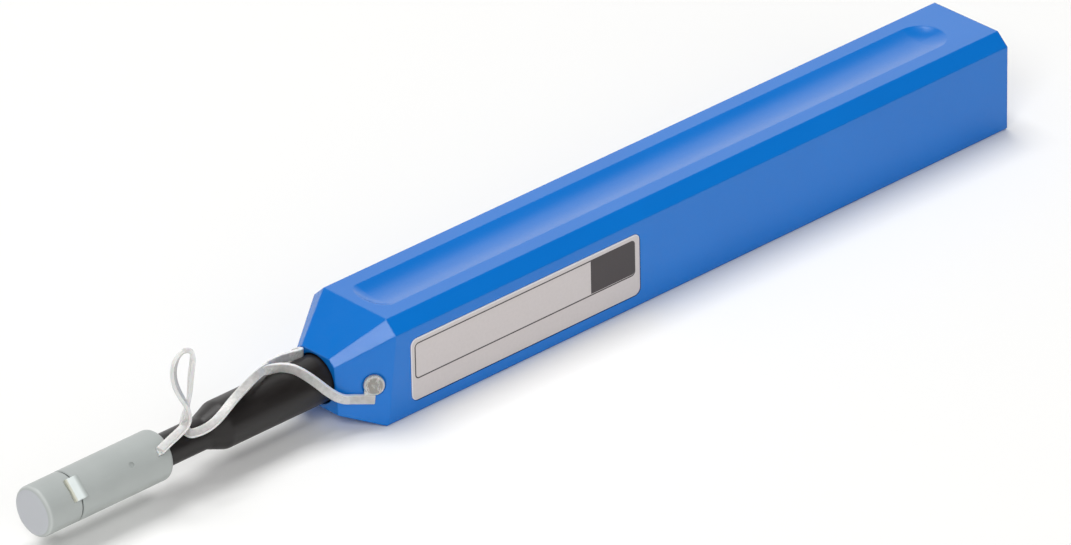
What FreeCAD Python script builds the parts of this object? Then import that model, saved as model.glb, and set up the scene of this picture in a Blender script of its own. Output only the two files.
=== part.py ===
"""Fibre connector cleaning pen: a pocket tool that wipes the end face of an optical connector with a thread.

Pushing the pen onto a connector slides the nozzle and the reel carriage back into the housing against a
spring. The drive gear rolls along a rack that is fixed to the housing and winds used thread onto the
take-up reel, so fresh thread is drawn over the tip from the supply reel.

Millimetres. +X runs from the nozzle to the rear of the housing, +Y across and +Z up. Each body is drawn in
the pen's own datum, the plane where the nose taper starts, and placed so that the origin of the part is at
the bottom, midway along the whole pen.
"""

import FreeCAD
import Part
import math
import os
import re

import Sketcher

V = FreeCAD.Vector

# ---------------------------------------------------------------- driving dimensions
SIZES = {
    # housing
    "housing_length": 172.2,
    "housing_width": 24.0,
    "housing_height": 22.0,
    "wall": 1.6,
    "roof": 2.8,
    "chamfer_side": 2.83,
    "chamfer_drop": 2.68,
    "edge_break": 0.35,
    "nose_length": 10.9,
    "nose_slant": 2.68,
    "nose_end": 5.9,
    "nose_end_chamfer": 6.98,
    "nose_bore": 5.45,
    "axis_height": 9.4,
    # grip hollow along the top
    "grip_front": 2.4,
    "grip_rear": 8.0,
    "grip_half_width": 5.5,
    "grip_depth": 1.0,
    "grip_front_round": 5.0,
    # side label
    "label_front": 3.76,
    "label_length": 62.5,
    "label_low": 2.92,
    "label_height": 13.83,
    "label_corner": 1.5,
    "label_thickness": 0.22,
    "label_sunk": 0.25,
    "label_gap": 0.12,
    # base cover and its snap hooks
    "cover_thickness": 1.6,
    "cover_gap": 0.1,
    "hook_first": 22.0,
    "hook_pitch": 58.0,
    "hook_length": 7.0,
    "hook_height": 3.6,
    "hook_thickness": 1.0,
    "hook_nose": 0.55,
    "hook_play": 0.2,
    # nozzle
    "nozzle_radius": 5.07,
    "nozzle_front": 37.0,
    "cone_length": 4.4,
    "cone_round": 3.5,
    "cone_foot_round": 2.5,
    "barrel_radius": 3.44,
    "barrel_tip": 71.5,
    "barrel_bore": 1.98,
    "barrel_mouth_radius": 2.6,
    "barrel_mouth_depth": 5.5,
    "nozzle_core": 3.2,
    "collar_rear": 10.0,
    "collar_thickness": 2.0,
    "collar_radius": 6.2,
    # thread core and tip
    "core_radius": 1.9,
    "core_front": 66.0,
    "core_flange_radius": 4.4,
    "core_flange_thickness": 1.5,
    "thread_floor": 1.3,
    "groove_width": 0.8,
    "tip_radius": 1.24,
    "tip_nose_centre": 72.3,
    "tip_nose_round": 0.7,
    "tip_shank_radius": 0.8,
    "tip_shank_length": 3.0,
    # cleaning thread
    "thread_diameter": 0.5,
    "thread_lift": 0.06,
    # reel carriage
    "carriage_front": 4.0,
    "carriage_rear": 116.0,
    "yoke_rear": 24.0,
    "yoke_play": 0.06,
    "rear_wall": 4.0,
    "cheek_inner": 7.6,
    "cheek_thickness": 1.4,
    "yoke_low": 3.4,
    "yoke_high": 17.0,
    "cheek_low": 4.3,
    "cheek_high": 15.6,
    "spring_chamber_radius": 4.7,
    "thread_window": 2.3,
    "runner_length": 16.0,
    "runner_height": 3.0,
    "runner_gap": 0.12,
    "peg_radius": 3.0,
    "peg_length": 8.0,
    "mid_bar_front": 72.0,
    "mid_bar_rear": 76.0,
    "pawl_thickness": 0.6,
    "pawl_foot": 2.0,
    "pawl_play": 0.03,
    # reels, axles and gear
    "reel_height": 10.2,
    "take_up_place": 52.0,
    "supply_place": 96.0,
    "reel_radius": 7.4,
    "reel_half_width": 4.0,
    "flange_thickness": 0.8,
    "hub_radius": 2.4,
    "axle_radius": 1.5,
    "axle_play": 0.05,
    "press_play": 0.02,
    "end_play": 0.2,
    "take_up_wound": 3.2,
    "supply_wound": 6.2,
    "gear_module": 0.8,
    "gear_teeth": 14,
    "gear_face": 2.9,
    "gear_play": 0.3,
    "backlash": 0.26,
    "ratchet_teeth": 16,
    "ratchet_radius": 6.0,
    "ratchet_depth": 0.9,
    "ratchet_width": 2.0,
    "rack_teeth": 11,
    "rack_foot": 1.4,
    # guide rollers and springs
    "roller_place": 28.0,
    "roller_radius": 1.2,
    "return_spring_radius": 4.1,
    "return_wire": 0.9,
    "return_pitch": 4.2,
    "spring_stop": 150.0,
    "tip_spring_radius": 3.5,
    "tip_wire": 0.5,
    "tip_pitch": 2.2,
    # guide cap, lid and hinge
    "cap_rear": 52.4,
    "cap_length": 23.8,
    "cap_radius": 5.33,
    "cap_round": 1.5,
    "split_chamfer": 0.3,
    "cap_play": 0.06,
    "cap_tip_gap": 0.5,
    "tip_chamber_radius": 1.6,
    "tip_chamber_depth": 1.7,
    "register_radius": 4.4,
    "register_length": 0.6,
    "ferrule_nose_radius": 2.6,
    "ferrule_nose_length": 5.5,
    "ferrule_bore": 1.27,
    "lid_length": 8.6,
    "lid_radius": 5.31,
    "lid_inner": 4.65,
    "lid_face": 1.2,
    "lid_round": 1.0,
    "hinge_turn": 46.5,
    "hinge_width": 4.8,
    "hinge_thickness": 0.75,
    "hinge_seat": 5.0,
    "hinge_over_lid": 2.1,
    "hinge_over_cap": 0.9,
    "lip_reach": 1.3,
    "lip_width": 4.0,
    "lip_length": 2.0,
    "gate_back": 10.3,
    "gate_turn": 51.5,
    "gate_radius": 0.55,
    "gate_depth": 0.2,
    # tether
    "tether_diameter": 1.6,
    "arm_diameter": 1.0,
    "tether_width": 1.7,
    "tether_thickness": 0.8,
    "stud_back": 4.5,
    "stud_head_radius": 2.1,
    "stud_head_thickness": 1.0,
    "stud_post_radius": 1.4,
    "stud_post_length": 2.6,
    "stud_barb": 0.3,
    "stud_sunk": 0.25,
    "stud_play": 0.3,
    "tether_drop": 3.0,
    "tab_front": 3.0,
    "tab_rear": 0.2,
    "neck_front": 1.9,
    "anchor_turn": 52.0,
    "anchor_setback": 2.5,
    "anchor_length": 1.2,
    "anchor_width": 1.4,
    "anchor_depth": 1.0,
    "anchor_rise": 0.35,
    "anchor_play": 0.05,
}

# Route of the tether's strap, from the cap to the fork, in the pen's datum. It leaves the cap's rear rim,
# stands up in one loose loop over the thin barrel and comes to lie along the nozzle.
STRAP_ROUTE = [
    (-54.6, -4.6, 13.7), (-52.9, -4.6, 14.4), (-50.7, -4.5, 15.1), (-48.6, -4.2, 15.8), (-47.4, -3.8, 17.2),
    (-47.2, -3.4, 18.8), (-47.9, -3.0, 20.5), (-48.8, -2.7, 22.5), (-49.5, -2.4, 24.8), (-49.4, -2.1, 27.0),
    (-48.4, -1.8, 28.6), (-46.8, -1.4, 29.2), (-44.8, -1.0, 29.0), (-43.2, -0.6, 27.9), (-42.7, -0.3, 25.8),
    (-43.1, -0.2, 23.6), (-43.4, -0.1, 21.3), (-43.9, -0.1, 19.3), (-45.0, -0.3, 17.6), (-46.4, -0.8, 16.2),
    (-47.3, -1.5, 14.8), (-47.6, -2.4, 13.5), (-47.1, -3.6, 12.8), (-45.8, -4.5, 13.1), (-44.0, -4.9, 13.4),
    (-42.0, -4.9, 13.9), (-39.9, -4.6, 14.6), (-37.5, -4.0, 15.3), (-34.9, -3.2, 15.8), (-31.9, -2.2, 16.1),
    (-28.6, -1.0, 16.1), (-25.1, 0.4, 15.9), (-21.8, 1.8, 15.6),
]
# Routes of its two arms, from the fork round each side of the nozzle towards the nose's studs.
ARM_ROUTES = {
    "near": [(-20.9, 1.3, 15.4), (-19.9, 0.6, 15.5), (-18.9, -0.4, 15.6), (-17.9, -2.0, 15.2), (-16.9, -3.6, 14.1),
             (-15.4, -5.2, 12.2), (-13.5, -6.5, 9.9), (-11.2, -7.4, 8.0)],
    "far": [(-20.9, 2.6, 15.5), (-18.3, 2.8, 15.8), (-15.8, 2.9, 15.6), (-13.5, 2.9, 15.4), (-12.2, 3.6, 15.1),
            (-12.0, 5.6, 14.4), (-12.0, 7.2, 12.7), (-11.8, 8.2, 10.4), (-10.8, 8.8, 8.4)],
}

doc = FreeCAD.newDocument("cleaning_pen")
sheet = doc.addObject("Spreadsheet::Sheet", "Sizes")
for row, (alias, size) in enumerate(SIZES.items(), start=1):
    sheet.set(f"A{row}", alias)
    sheet.set(f"B{row}", str(size))
    sheet.setAlias(f"B{row}", alias)
doc.recompute()

DATUM_X = "-(housing_length - cap_rear - cap_length - lid_length) / 2"


# ---------------------------------------------------------------- helpers
def bound(text):
    """The expression with each size's name pointing at the sheet."""
    return re.sub(r"[a-z_]+", lambda m: f"Sizes.{m[0]}" if m[0] in SIZES else m[0], str(text))


def value(text):
    """What an expression on the sheet's sizes comes to."""
    result = sheet.evalExpression(bound(text))
    return float(getattr(result, "Value", result))


def new_body(label, x=DATUM_X, y="0", z="0", placement=None):
    """An empty body whose own origin is at that place in the part, or at a ready placement."""
    body = doc.addObject("PartDesign::Body", label)
    body.Label = label
    if placement:
        body.Placement = placement
        return body
    for axis, text in (("x", x), ("y", y), ("z", z)):
        body.setExpression(f"Placement.Base.{axis}", bound(text))
    doc.recompute()
    return body


def new_sketch(body, role, name, offset=("0", "0", "0"), turn=None):
    """A sketch on one of the body's origin planes, shifted and turned in that plane's own axes."""
    plane = next(f for f in body.Origin.OriginFeatures if f.Role == role)
    sketch = body.newObject("Sketcher::SketchObject", f"{body.Label}_{name}")
    sketch.AttachmentSupport = [(plane, "")]
    sketch.MapMode = "FlatFace"
    if turn:
        sketch.AttachmentOffset = FreeCAD.Placement(V(0, 0, 0), FreeCAD.Rotation(V(*turn[0]), turn[1]))
    for axis, text in zip("xyz", offset):
        sketch.setExpression(f"AttachmentOffset.Base.{axis}", bound(text))
    return sketch


def pin_point(sketch, geometry, point, x, y):
    """Hold one point of the sketch at the place that two expressions give."""
    for kind, text, axis in (("DistanceX", x, -2), ("DistanceY", y, -1)):
        if abs(value(text)) < 1e-9:
            sketch.addConstraint(Sketcher.Constraint("PointOnObject", geometry, point, axis))
        else:
            index = sketch.addConstraint(Sketcher.Constraint(kind, -1, 1, geometry, point, value(text)))
            sketch.setExpression(f"Constraints[{index}]", bound(text))


def outline(sketch, points):
    """A closed outline of straight lines through points given as pairs of expressions."""
    places = [V(value(x), value(y), 0) for x, y in points]
    first = sketch.GeometryCount
    for start, end in zip(places, places[1:] + places[:1]):
        sketch.addGeometry(Part.LineSegment(start, end), False)
    count = len(points)
    for i, (x, y) in enumerate(points):
        sketch.addConstraint(Sketcher.Constraint("Coincident", first + i, 2, first + (i + 1) % count, 1))
        pin_point(sketch, first + i, 1, x, y)
    return sketch


def rectangle(sketch, x_low, x_high, y_low, y_high):
    return outline(sketch, [(x_low, y_low), (x_high, y_low), (x_high, y_high), (x_low, y_high)])


def ring(sketch, radius, x="0", y="0"):
    """A circle of that radius about a place."""
    index = sketch.addGeometry(Part.Circle(V(value(x), value(y), 0), V(0, 0, 1), value(radius)), False)
    pin_point(sketch, index, 3, x, y)
    held = sketch.addConstraint(Sketcher.Constraint("Radius", index, value(radius)))
    sketch.setExpression(f"Constraints[{held}]", bound(radius))
    return sketch


def feature(body, kind, name, profile, **settings):
    """A PartDesign feature on a sketch. Text settings are expressions, apart from FreeCAD's own options."""
    before = body.Tip.Shape.Volume if body.Tip and not body.Tip.Shape.isNull() else 0.0
    made = body.newObject(f"PartDesign::{kind}", f"{body.Label}_{name}")
    made.Profile = profile
    for key, setting in settings.items():
        if key in ("Length", "Length2", "Angle", "Pitch", "Height"):
            made.setExpression(key, bound(setting))
        else:
            setattr(made, key, setting)
    body.Tip = made
    doc.recompute()
    after = made.Shape.Volume if not made.Shape.isNull() else 0.0
    removes = kind in ("Pocket", "Groove")
    if "Invalid" in made.State or after < 1e-6 or (after > before - 1e-6 if removes else after < before + 1e-6):
        raise RuntimeError(f"{made.Name} changed the volume from {before:.3f} to {after:.3f}")
    return made


def pad(body, name, profile, length, symmetric=False, reverse=False):
    return feature(body, "Pad", name, profile, Length=length, Reversed=reverse,
                   SideType="Symmetric" if symmetric else "One side")


def pocket(body, name, profile, length=None, symmetric=False, reverse=False):
    """A pocket of that depth, or right through when no length is given."""
    depth = {"Length": length} if length else {"Type": "ThroughAll"}
    return feature(body, "Pocket", name, profile, Reversed=reverse,
                   SideType="Symmetric" if symmetric else "One side", **depth)


def turned(body, name, points, cut=False, role="XZ_Plane", axis="H_Axis"):
    """A full turn of an outline: along X with the profile (x, radius), or about Y with (radius, y)."""
    profile = outline(new_sketch(body, role, f"{name}_profile"), points)
    return feature(body, "Groove" if cut else "Revolution", name, profile,
                   ReferenceAxis=(profile, [axis]), Angle="360")


def rounded(body, name, radius, *rims):
    """A fillet on circular edges about X, each rim given as its x and its radius."""
    base, edges = body.Tip, []
    for number, edge in enumerate(base.Shape.Edges, start=1):
        if isinstance(edge.Curve, Part.Circle):
            place = (edge.Curve.Center.x, edge.Curve.Radius)
            if any(math.dist(place, (value(x), value(size))) < 1e-3 for x, size in rims):
                edges.append(f"Edge{number}")
    made = body.newObject("PartDesign::Fillet", f"{body.Label}_{name}")
    made.Base = (base, edges)
    made.setExpression("Radius", bound(radius))
    body.Tip = made
    doc.recompute()
    if "Invalid" in made.State or len(edges) < len(rims):
        raise RuntimeError(f"{made.Name} rounded {len(edges)} edges of {len(rims)}")
    return made


def pattern(body, kind, name, original, **settings):
    """A pattern or mirror of one feature, made the body's result."""
    made = body.newObject(f"PartDesign::{kind}", f"{body.Label}_{name}")
    made.Originals = [original]
    for key, setting in settings.items():
        if key in ("Length", "Angle", "Occurrences"):
            made.setExpression(key, bound(setting))
        else:
            setattr(made, key, setting)
    body.Tip = made
    doc.recompute()
    return made


def origin_of(body, role):
    return (next(f for f in body.Origin.OriginFeatures if f.Role == role), [""])


def bent_path(points):
    """Straight runs joined by tangent arcs, each as large as its two runs allow, and the arcs' radii."""
    points = [V(*p) for p in points]
    edges, radii, start = [], [], points[0]
    for before, corner, after in zip(points, points[1:], points[2:]):
        back, ahead = (before - corner).normalize(), (after - corner).normalize()
        half_turn = (math.pi - back.getAngle(ahead)) / 2
        reach = 0.45 * min((before - corner).Length, (after - corner).Length)
        radius = reach / math.tan(half_turn)
        enter, leave = corner + back * reach, corner + ahead * reach
        middle = (back + ahead).normalize() * (radius / math.cos(half_turn) - radius) + corner
        edges += [Part.LineSegment(start, enter).toShape(), Part.Arc(enter, middle, leave).toShape()]
        radii.append(radius)
        start = leave
    edges.append(Part.LineSegment(start, points[-1]).toShape())
    return Part.Wire(edges), radii


def tube(label, points, diameter):
    """A round tube along a bent path, as a feature in the pen's datum."""
    path, radii = bent_path(points)
    heading = V(*points[1]) - V(*points[0])
    section = Part.Wire(Part.Circle(V(*points[0]), heading, diameter / 2).toShape())
    solid = path.makePipeShell([section], True, True)
    made = doc.addObject("Part::Feature", label)
    made.Label = label
    made.Shape = solid
    made.Placement = FreeCAD.Placement(V(value(DATUM_X), 0, 0), FreeCAD.Rotation())
    share = solid.Volume / (math.pi * diameter**2 / 4 * path.Length)
    print(f"{label}: {path.Length:.1f} mm long, volume {share:.3f} of section times length, radii",
          " ".join(f"{r:.1f}" for r in radii))
    return made


# ---------------------------------------------------------------- housing shell
def chamfered_section(sketch, half_width, low, high, side, drop):
    """A section across the housing: a rectangle whose two upper corners are cut off."""
    return outline(sketch, [
        (f"-({half_width})", low), (half_width, low), (half_width, f"{high} - {drop}"),
        (f"{half_width} - {side}", high), (f"-({half_width} - {side})", high),
        (f"-({half_width})", f"{high} - {drop}")])


def nose_slope():
    """The tilt of the nose's side edges and the plan angle of its side facets, in degrees."""
    side = value("housing_height - chamfer_drop")
    tilt = math.degrees(math.atan2(value("nose_slant"), side))
    lean = math.radians(tilt)
    drop = side - value("axis_height")
    run = value("nose_length") * math.cos(lean) - drop * math.sin(lean)
    plan = math.degrees(math.atan2(value("housing_width / 2 - nose_end"), run))
    return tilt, plan


def facet_frame(side):
    """The stud's seat on one side facet: its centre, its axes along and up the facet, and its normal."""
    tilt, plan = (math.radians(a) for a in nose_slope())
    along_plan = V(math.cos(tilt), 0, -math.sin(tilt))
    up = V(math.sin(tilt), 0, math.cos(tilt))
    rearward = along_plan * math.cos(plan) + V(0, side * math.sin(plan), 0)
    normal = (up.cross(rearward) * side).normalize()
    corner = V(0, side * value("housing_width / 2"), value("housing_height - chamfer_drop"))
    guess = V(-value("stud_back"), 0, value("axis_height"))
    guess.y = corner.y - ((guess.x - corner.x) * normal.x + (guess.z - corner.z) * normal.z) / normal.y
    return guess, rearward, up, normal


def build_housing():
    """Moulded shell: a chamfered tube open below, with a faceted nose, ribs and the seats of other pieces."""
    body = new_body("housing_shell")
    outer = chamfered_section(new_sketch(body, "YZ_Plane", "section", ("0", "0", "-nose_length")),
                              "housing_width / 2", "0", "housing_height", "chamfer_side", "chamfer_drop")
    pad(body, "tube", outer, "housing_length + nose_length")

    # the nose's facets: top and bottom, then the two sides, then the two chamfers
    reach = "(nose_length + 2)"
    rise = "(housing_height - axis_height - nose_end) / nose_length"
    fall = "(axis_height - nose_end) / (nose_length - nose_slant)"
    top = outline(new_sketch(body, "XZ_Plane", "nose_top"), [
        ("0", "housing_height"), (f"-{reach}", f"housing_height - {reach} * {rise}"),
        (f"-{reach}", "housing_height + 1"), ("0", "housing_height + 1")])
    pocket(body, "nose_top_cut", top, symmetric=True)
    bottom = outline(new_sketch(body, "XZ_Plane", "nose_bottom"), [
        ("-nose_slant", "0"), ("-nose_slant", "-1"), (f"-{reach}", "-1"),
        (f"-{reach}", f"({reach} - nose_slant) * {fall}")])
    pocket(body, "nose_bottom_cut", bottom, symmetric=True)
    tilt, plan = nose_slope()
    slope = math.tan(math.radians(plan))
    sides = new_sketch(body, "XY_Plane", "nose_sides", ("0", "0", "housing_height - chamfer_drop"),
                       ((0, 1, 0), tilt))
    for sign in ("", "-"):
        outline(sides, [
            ("0", f"{sign}(housing_width / 2)"), (f"-{reach}", f"{sign}(housing_width / 2 - {reach} * {slope})"),
            (f"-{reach}", f"{sign}(housing_width / 2 + 2)"), ("0", f"{sign}(housing_width / 2 + 2)")])
    pocket(body, "nose_side_cut", sides, symmetric=True)
    lean = math.degrees(math.atan2(value("chamfer_drop"), value("chamfer_side")))
    start = ("((housing_width / 2 - chamfer_side) * {0} + (housing_height - axis_height) * {1})".format(
        math.sin(math.radians(lean)), math.cos(math.radians(lean))))
    edge = outline(new_sketch(body, "XZ_Plane", "nose_chamfer", ("0", "axis_height", "0"), ((1, 0, 0), -lean)), [
        ("0", start), (f"-{reach}", f"{start} - {reach} * ({start} - nose_end_chamfer) / nose_length"),
        (f"-{reach}", f"{start} + 2"), ("0", f"{start} + 2")])
    chamfer = pocket(body, "nose_chamfer_cut", edge, symmetric=True)
    pattern(body, "Mirrored", "nose_chamfers", chamfer, MirrorPlane=origin_of(body, "XZ_Plane"))

    # the hollow: a straight cavity, its taper into the nose and the nozzle's hole
    inside = chamfered_section(new_sketch(body, "YZ_Plane", "cavity"), "housing_width / 2 - wall", "-1",
                               "housing_height - roof", "chamfer_side", "chamfer_drop")
    pocket(body, "hollow", inside, "housing_length - wall", reverse=True)
    wide = chamfered_section(new_sketch(body, "YZ_Plane", "taper_wide", ("0", "0", "0.01")),
                             "housing_width / 2 - wall", "cover_thickness", "housing_height - roof",
                             "chamfer_side", "chamfer_drop")
    narrow = chamfered_section(new_sketch(body, "YZ_Plane", "taper_narrow", ("0", "0", "-(nose_length - wall)")),
                               "nose_bore - 0.3", "axis_height - nose_bore + 0.4", "axis_height + nose_bore - 0.4",
                               "chamfer_side * 0.8", "chamfer_drop * 0.8")
    taper = body.newObject("PartDesign::SubtractiveLoft", "housing_shell_nose_hollow")
    taper.Profile = wide
    taper.Sections = [narrow]
    taper.Ruled = True
    body.Tip = taper
    doc.recompute()
    hole = ring(new_sketch(body, "YZ_Plane", "nozzle_hole", ("0", "0", "1")), "nose_bore", "0", "axis_height")
    pocket(body, "nozzle_bore", hole, "nose_length + 3")

    # rib that the return spring pushes against
    rib = rectangle(new_sketch(body, "YZ_Plane", "spring_rib", ("0", "0", "spring_stop")),
                    "-(housing_width / 2 - wall / 2)", "housing_width / 2 - wall / 2",
                    "cover_thickness + 0.4", "housing_height - roof - chamfer_drop")
    pad(body, "rib", rib, "wall")
    gusset = rectangle(new_sketch(body, "YZ_Plane", "spring_rib_top", ("0", "0", "spring_stop")),
                       "-(housing_width / 2 - wall - chamfer_side)", "housing_width / 2 - wall - chamfer_side",
                       "housing_height - roof - chamfer_drop - 1", "housing_height - roof + 0.5")
    pad(body, "rib_top", gusset, "wall")

    # windows in the walls' inner faces that take the cover's hooks
    catch = rectangle(new_sketch(body, "YZ_Plane", "catch", ("0", "0", "hook_first - hook_play")),
                      "housing_width / 2 - wall - 0.5", "housing_width / 2 - wall + hook_nose + hook_play",
                      "cover_thickness + hook_height - 1.3 - hook_play", "cover_thickness + hook_height + hook_play")
    catches = pocket(body, "catch_cut", catch, "hook_length + 2 * hook_play", reverse=True)
    row = body.newObject("PartDesign::MultiTransform", "housing_shell_catches")
    row.Originals = [catches]
    along = body.newObject("PartDesign::LinearPattern", "housing_shell_catch_row")
    along.Direction = origin_of(body, "X_Axis")
    along.setExpression("Length", bound("hook_pitch * 2"))
    along.Occurrences = 3
    across = body.newObject("PartDesign::Mirrored", "housing_shell_catch_mirror")
    across.MirrorPlane = origin_of(body, "XZ_Plane")
    row.Transformations = [along, across]
    body.Tip = row
    doc.recompute()

    # grip hollow: a shallow trough swept by turning its long profile about an axis high above the roof
    radius = "((grip_half_width^2 + grip_depth^2) / (2 * grip_depth))"
    front = "(grip_front + sqrt(2 * grip_front_round * grip_depth - grip_depth^2))"
    rear = "(housing_length - grip_rear - grip_half_width)"
    trough = new_sketch(body, "XZ_Plane", "grip", ("0", f"housing_height - grip_depth + {radius}", "0"))
    shoulder, end = value("grip_front_round"), value(radius)
    corners = [(f"{front} - grip_front_round", "0"), (f"{front} - grip_front_round", f"grip_front_round - {radius}"),
               (front, f"-{radius}"), (rear, f"-{radius}"), (f"{rear} + {radius}", "0")]
    at = [V(value(x), value(y), 0) for x, y in corners]
    trough.addGeometry(Part.LineSegment(at[0], at[1]), False)
    trough.addGeometry(Part.ArcOfCircle(Part.Circle(V(at[2].x, at[1].y, 0), V(0, 0, 1), shoulder),
                                        math.pi, 1.5 * math.pi), False)
    trough.addGeometry(Part.LineSegment(at[2], at[3]), False)
    trough.addGeometry(Part.ArcOfCircle(Part.Circle(V(at[3].x, 0, 0), V(0, 0, 1), end),
                                        1.5 * math.pi, 2 * math.pi), False)
    trough.addGeometry(Part.LineSegment(at[4], at[0]), False)
    for i in range(5):
        trough.addConstraint(Sketcher.Constraint("Coincident", i, 2, (i + 1) % 5, 1))
        pin_point(trough, i, 1, *corners[i])
    for arc, text in ((1, "grip_front_round"), (3, radius)):
        held = trough.addConstraint(Sketcher.Constraint("Radius", arc, value(text)))
        trough.setExpression(f"Constraints[{held}]", bound(text))
    feature(body, "Groove", "grip_hollow", trough, ReferenceAxis=(trough, ["H_Axis"]), Angle="360")

    # shallow seat for the label, on the near side
    seat = rounded_panel(new_sketch(body, "XZ_Plane", "label_seat", ("0", "0", "housing_width / 2")), "label_gap")
    pocket(body, "label_recess", seat, "label_sunk")

    # counterbored holes for the tether's studs
    for side, word in ((-1, "near"), (1, "far")):
        centre, rearward, up, normal = facet_frame(side)
        across_facet = rearward * -side
        turn = FreeCAD.Rotation(across_facet, up, normal, "ZYX")
        for name, size, depth in (("seat", "stud_head_radius + stud_play", "stud_sunk + 0.5"),
                                  ("hole", "stud_post_radius + 0.1", "stud_sunk + 4")):
            drill = body.newObject("Sketcher::SketchObject", f"housing_shell_{word}_{name}_sketch")
            drill.AttachmentSupport = origin_of(body, "XY_Plane")[0]
            drill.MapMode = "FlatFace"
            drill.AttachmentOffset = FreeCAD.Placement(centre + normal * 0.5, turn)
            ring(drill, size)
            pocket(body, f"{word}_{name}", drill, depth)

    # broken lower edges along the two sides
    bevel = new_sketch(body, "YZ_Plane", "lower_edges", ("0", "0", "-nose_length"))
    for sign in ("", "-"):
        outline(bevel, [(f"{sign}(housing_width / 2 - edge_break)", "0"), (f"{sign}(housing_width / 2)", "edge_break"),
                        (f"{sign}(housing_width / 2 + 1)", "edge_break"), (f"{sign}(housing_width / 2 + 1)", "-1"),
                        (f"{sign}(housing_width / 2 - edge_break)", "-1")])
    pocket(body, "lower_edge_cut", bevel, "nose_length + housing_length", reverse=True)
    return body


def rounded_panel(sketch, grow):
    """The label's outline with round corners, larger all round by grow."""
    left, right = f"label_front - {grow}", f"label_front + label_length + {grow}"
    low, high = f"label_low - {grow}", f"label_low + label_height + {grow}"
    turn = f"(label_corner + {grow})"
    r = value(turn)
    places = [(f"{left} + {turn}", low), (f"{right} - {turn}", low), (right, f"{low} + {turn}"),
              (right, f"{high} - {turn}"), (f"{right} - {turn}", high), (f"{left} + {turn}", high),
              (left, f"{high} - {turn}"), (left, f"{low} + {turn}")]
    at = [V(value(x), value(y), 0) for x, y in places]
    centres = [V(at[1].x, at[2].y, 0), V(at[4].x, at[3].y, 0), V(at[5].x, at[6].y, 0), V(at[0].x, at[7].y, 0)]
    for i in range(4):
        sketch.addGeometry(Part.LineSegment(at[2 * i], at[2 * i + 1]), False)
        angle = (i - 1) * math.pi / 2
        sketch.addGeometry(Part.ArcOfCircle(Part.Circle(centres[i], V(0, 0, 1), r), angle, angle + math.pi / 2), False)
    for i in range(8):
        sketch.addConstraint(Sketcher.Constraint("Coincident", i, 2, (i + 1) % 8, 1))
        pin_point(sketch, i, 1, *places[i])
    for arc in (1, 3, 5, 7):
        held = sketch.addConstraint(Sketcher.Constraint("Radius", arc, r))
        sketch.setExpression(f"Constraints[{held}]", bound(turn))
    return sketch


def build_label():
    """Thin self-adhesive label in its seat on the near side."""
    body = new_body("label")
    face = rounded_panel(new_sketch(body, "XZ_Plane", "outline", ("0", "0", "housing_width / 2 - label_sunk")), "0")
    pad(body, "sheet", face, "label_thickness")
    return body


# ---------------------------------------------------------------- base cover
INNER = "(housing_width / 2 - wall)"


def build_cover():
    """Flat cover that closes the housing from below, with six hooks that snap into the shell's walls."""
    body = new_body("base_cover")
    plate = rectangle(new_sketch(body, "XY_Plane", "plate"), "cover_gap", "housing_length - wall - cover_gap",
                      f"-({INNER} - cover_gap)", f"{INNER} - cover_gap")
    pad(body, "panel", plate, "cover_thickness")
    face = f"({INNER} - cover_gap)"
    top = "(cover_thickness + hook_height)"
    hook = outline(new_sketch(body, "YZ_Plane", "hook", ("0", "0", "hook_first")), [
        (f"{face} - hook_thickness", "cover_thickness - 0.3"), (face, "cover_thickness - 0.3"),
        (face, f"{top} - 1.3"), (f"{INNER} + hook_nose", f"{top} - 1.2"), (f"{face} + 0.05", top),
        (f"{face} - hook_thickness", top)])
    hooks = pad(body, "hook_pad", hook, "hook_length")
    row = body.newObject("PartDesign::MultiTransform", "base_cover_hooks")
    row.Originals = [hooks]
    along = body.newObject("PartDesign::LinearPattern", "base_cover_hook_row")
    along.Direction = origin_of(body, "X_Axis")
    along.setExpression("Length", bound("hook_pitch * 2"))
    along.Occurrences = 3
    across = body.newObject("PartDesign::Mirrored", "base_cover_hook_mirror")
    across.MirrorPlane = origin_of(body, "XZ_Plane")
    row.Transformations = [along, across]
    body.Tip = row
    doc.recompute()


# ---------------------------------------------------------------- gear and rack
PRESSURE = math.radians(25)


def gear_tooth():
    """One tooth of the drive gear, as points in units of its module, pointing along +Y of the sketch."""
    teeth, module = value("gear_teeth"), value("gear_module")
    pitch, base = teeth / 2, teeth / 2 * math.cos(PRESSURE)
    root, tip = pitch - 1.25, pitch + 0.95
    half = math.pi / 2 / teeth - value("backlash") / module / 4 / pitch

    def flank(radius):
        angle = math.acos(min(1.0, base / radius))
        pitch_angle = PRESSURE
        return half + (math.tan(pitch_angle) - pitch_angle) - (math.tan(angle) - angle)

    right = [(root - 0.6, flank(base)), (root, flank(base))]
    right += [(r, flank(r)) for r in (base + 0.02, base + 0.25, base + 0.55, pitch + 0.2, pitch + 0.6, tip)]
    points = [(r * math.sin(a), r * math.cos(a)) for r, a in right]
    points += [(-x, y) for x, y in reversed(points)]
    return [(f"{x:.5f} * gear_module", f"{y:.5f} * gear_module") for x, y in points]


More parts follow.
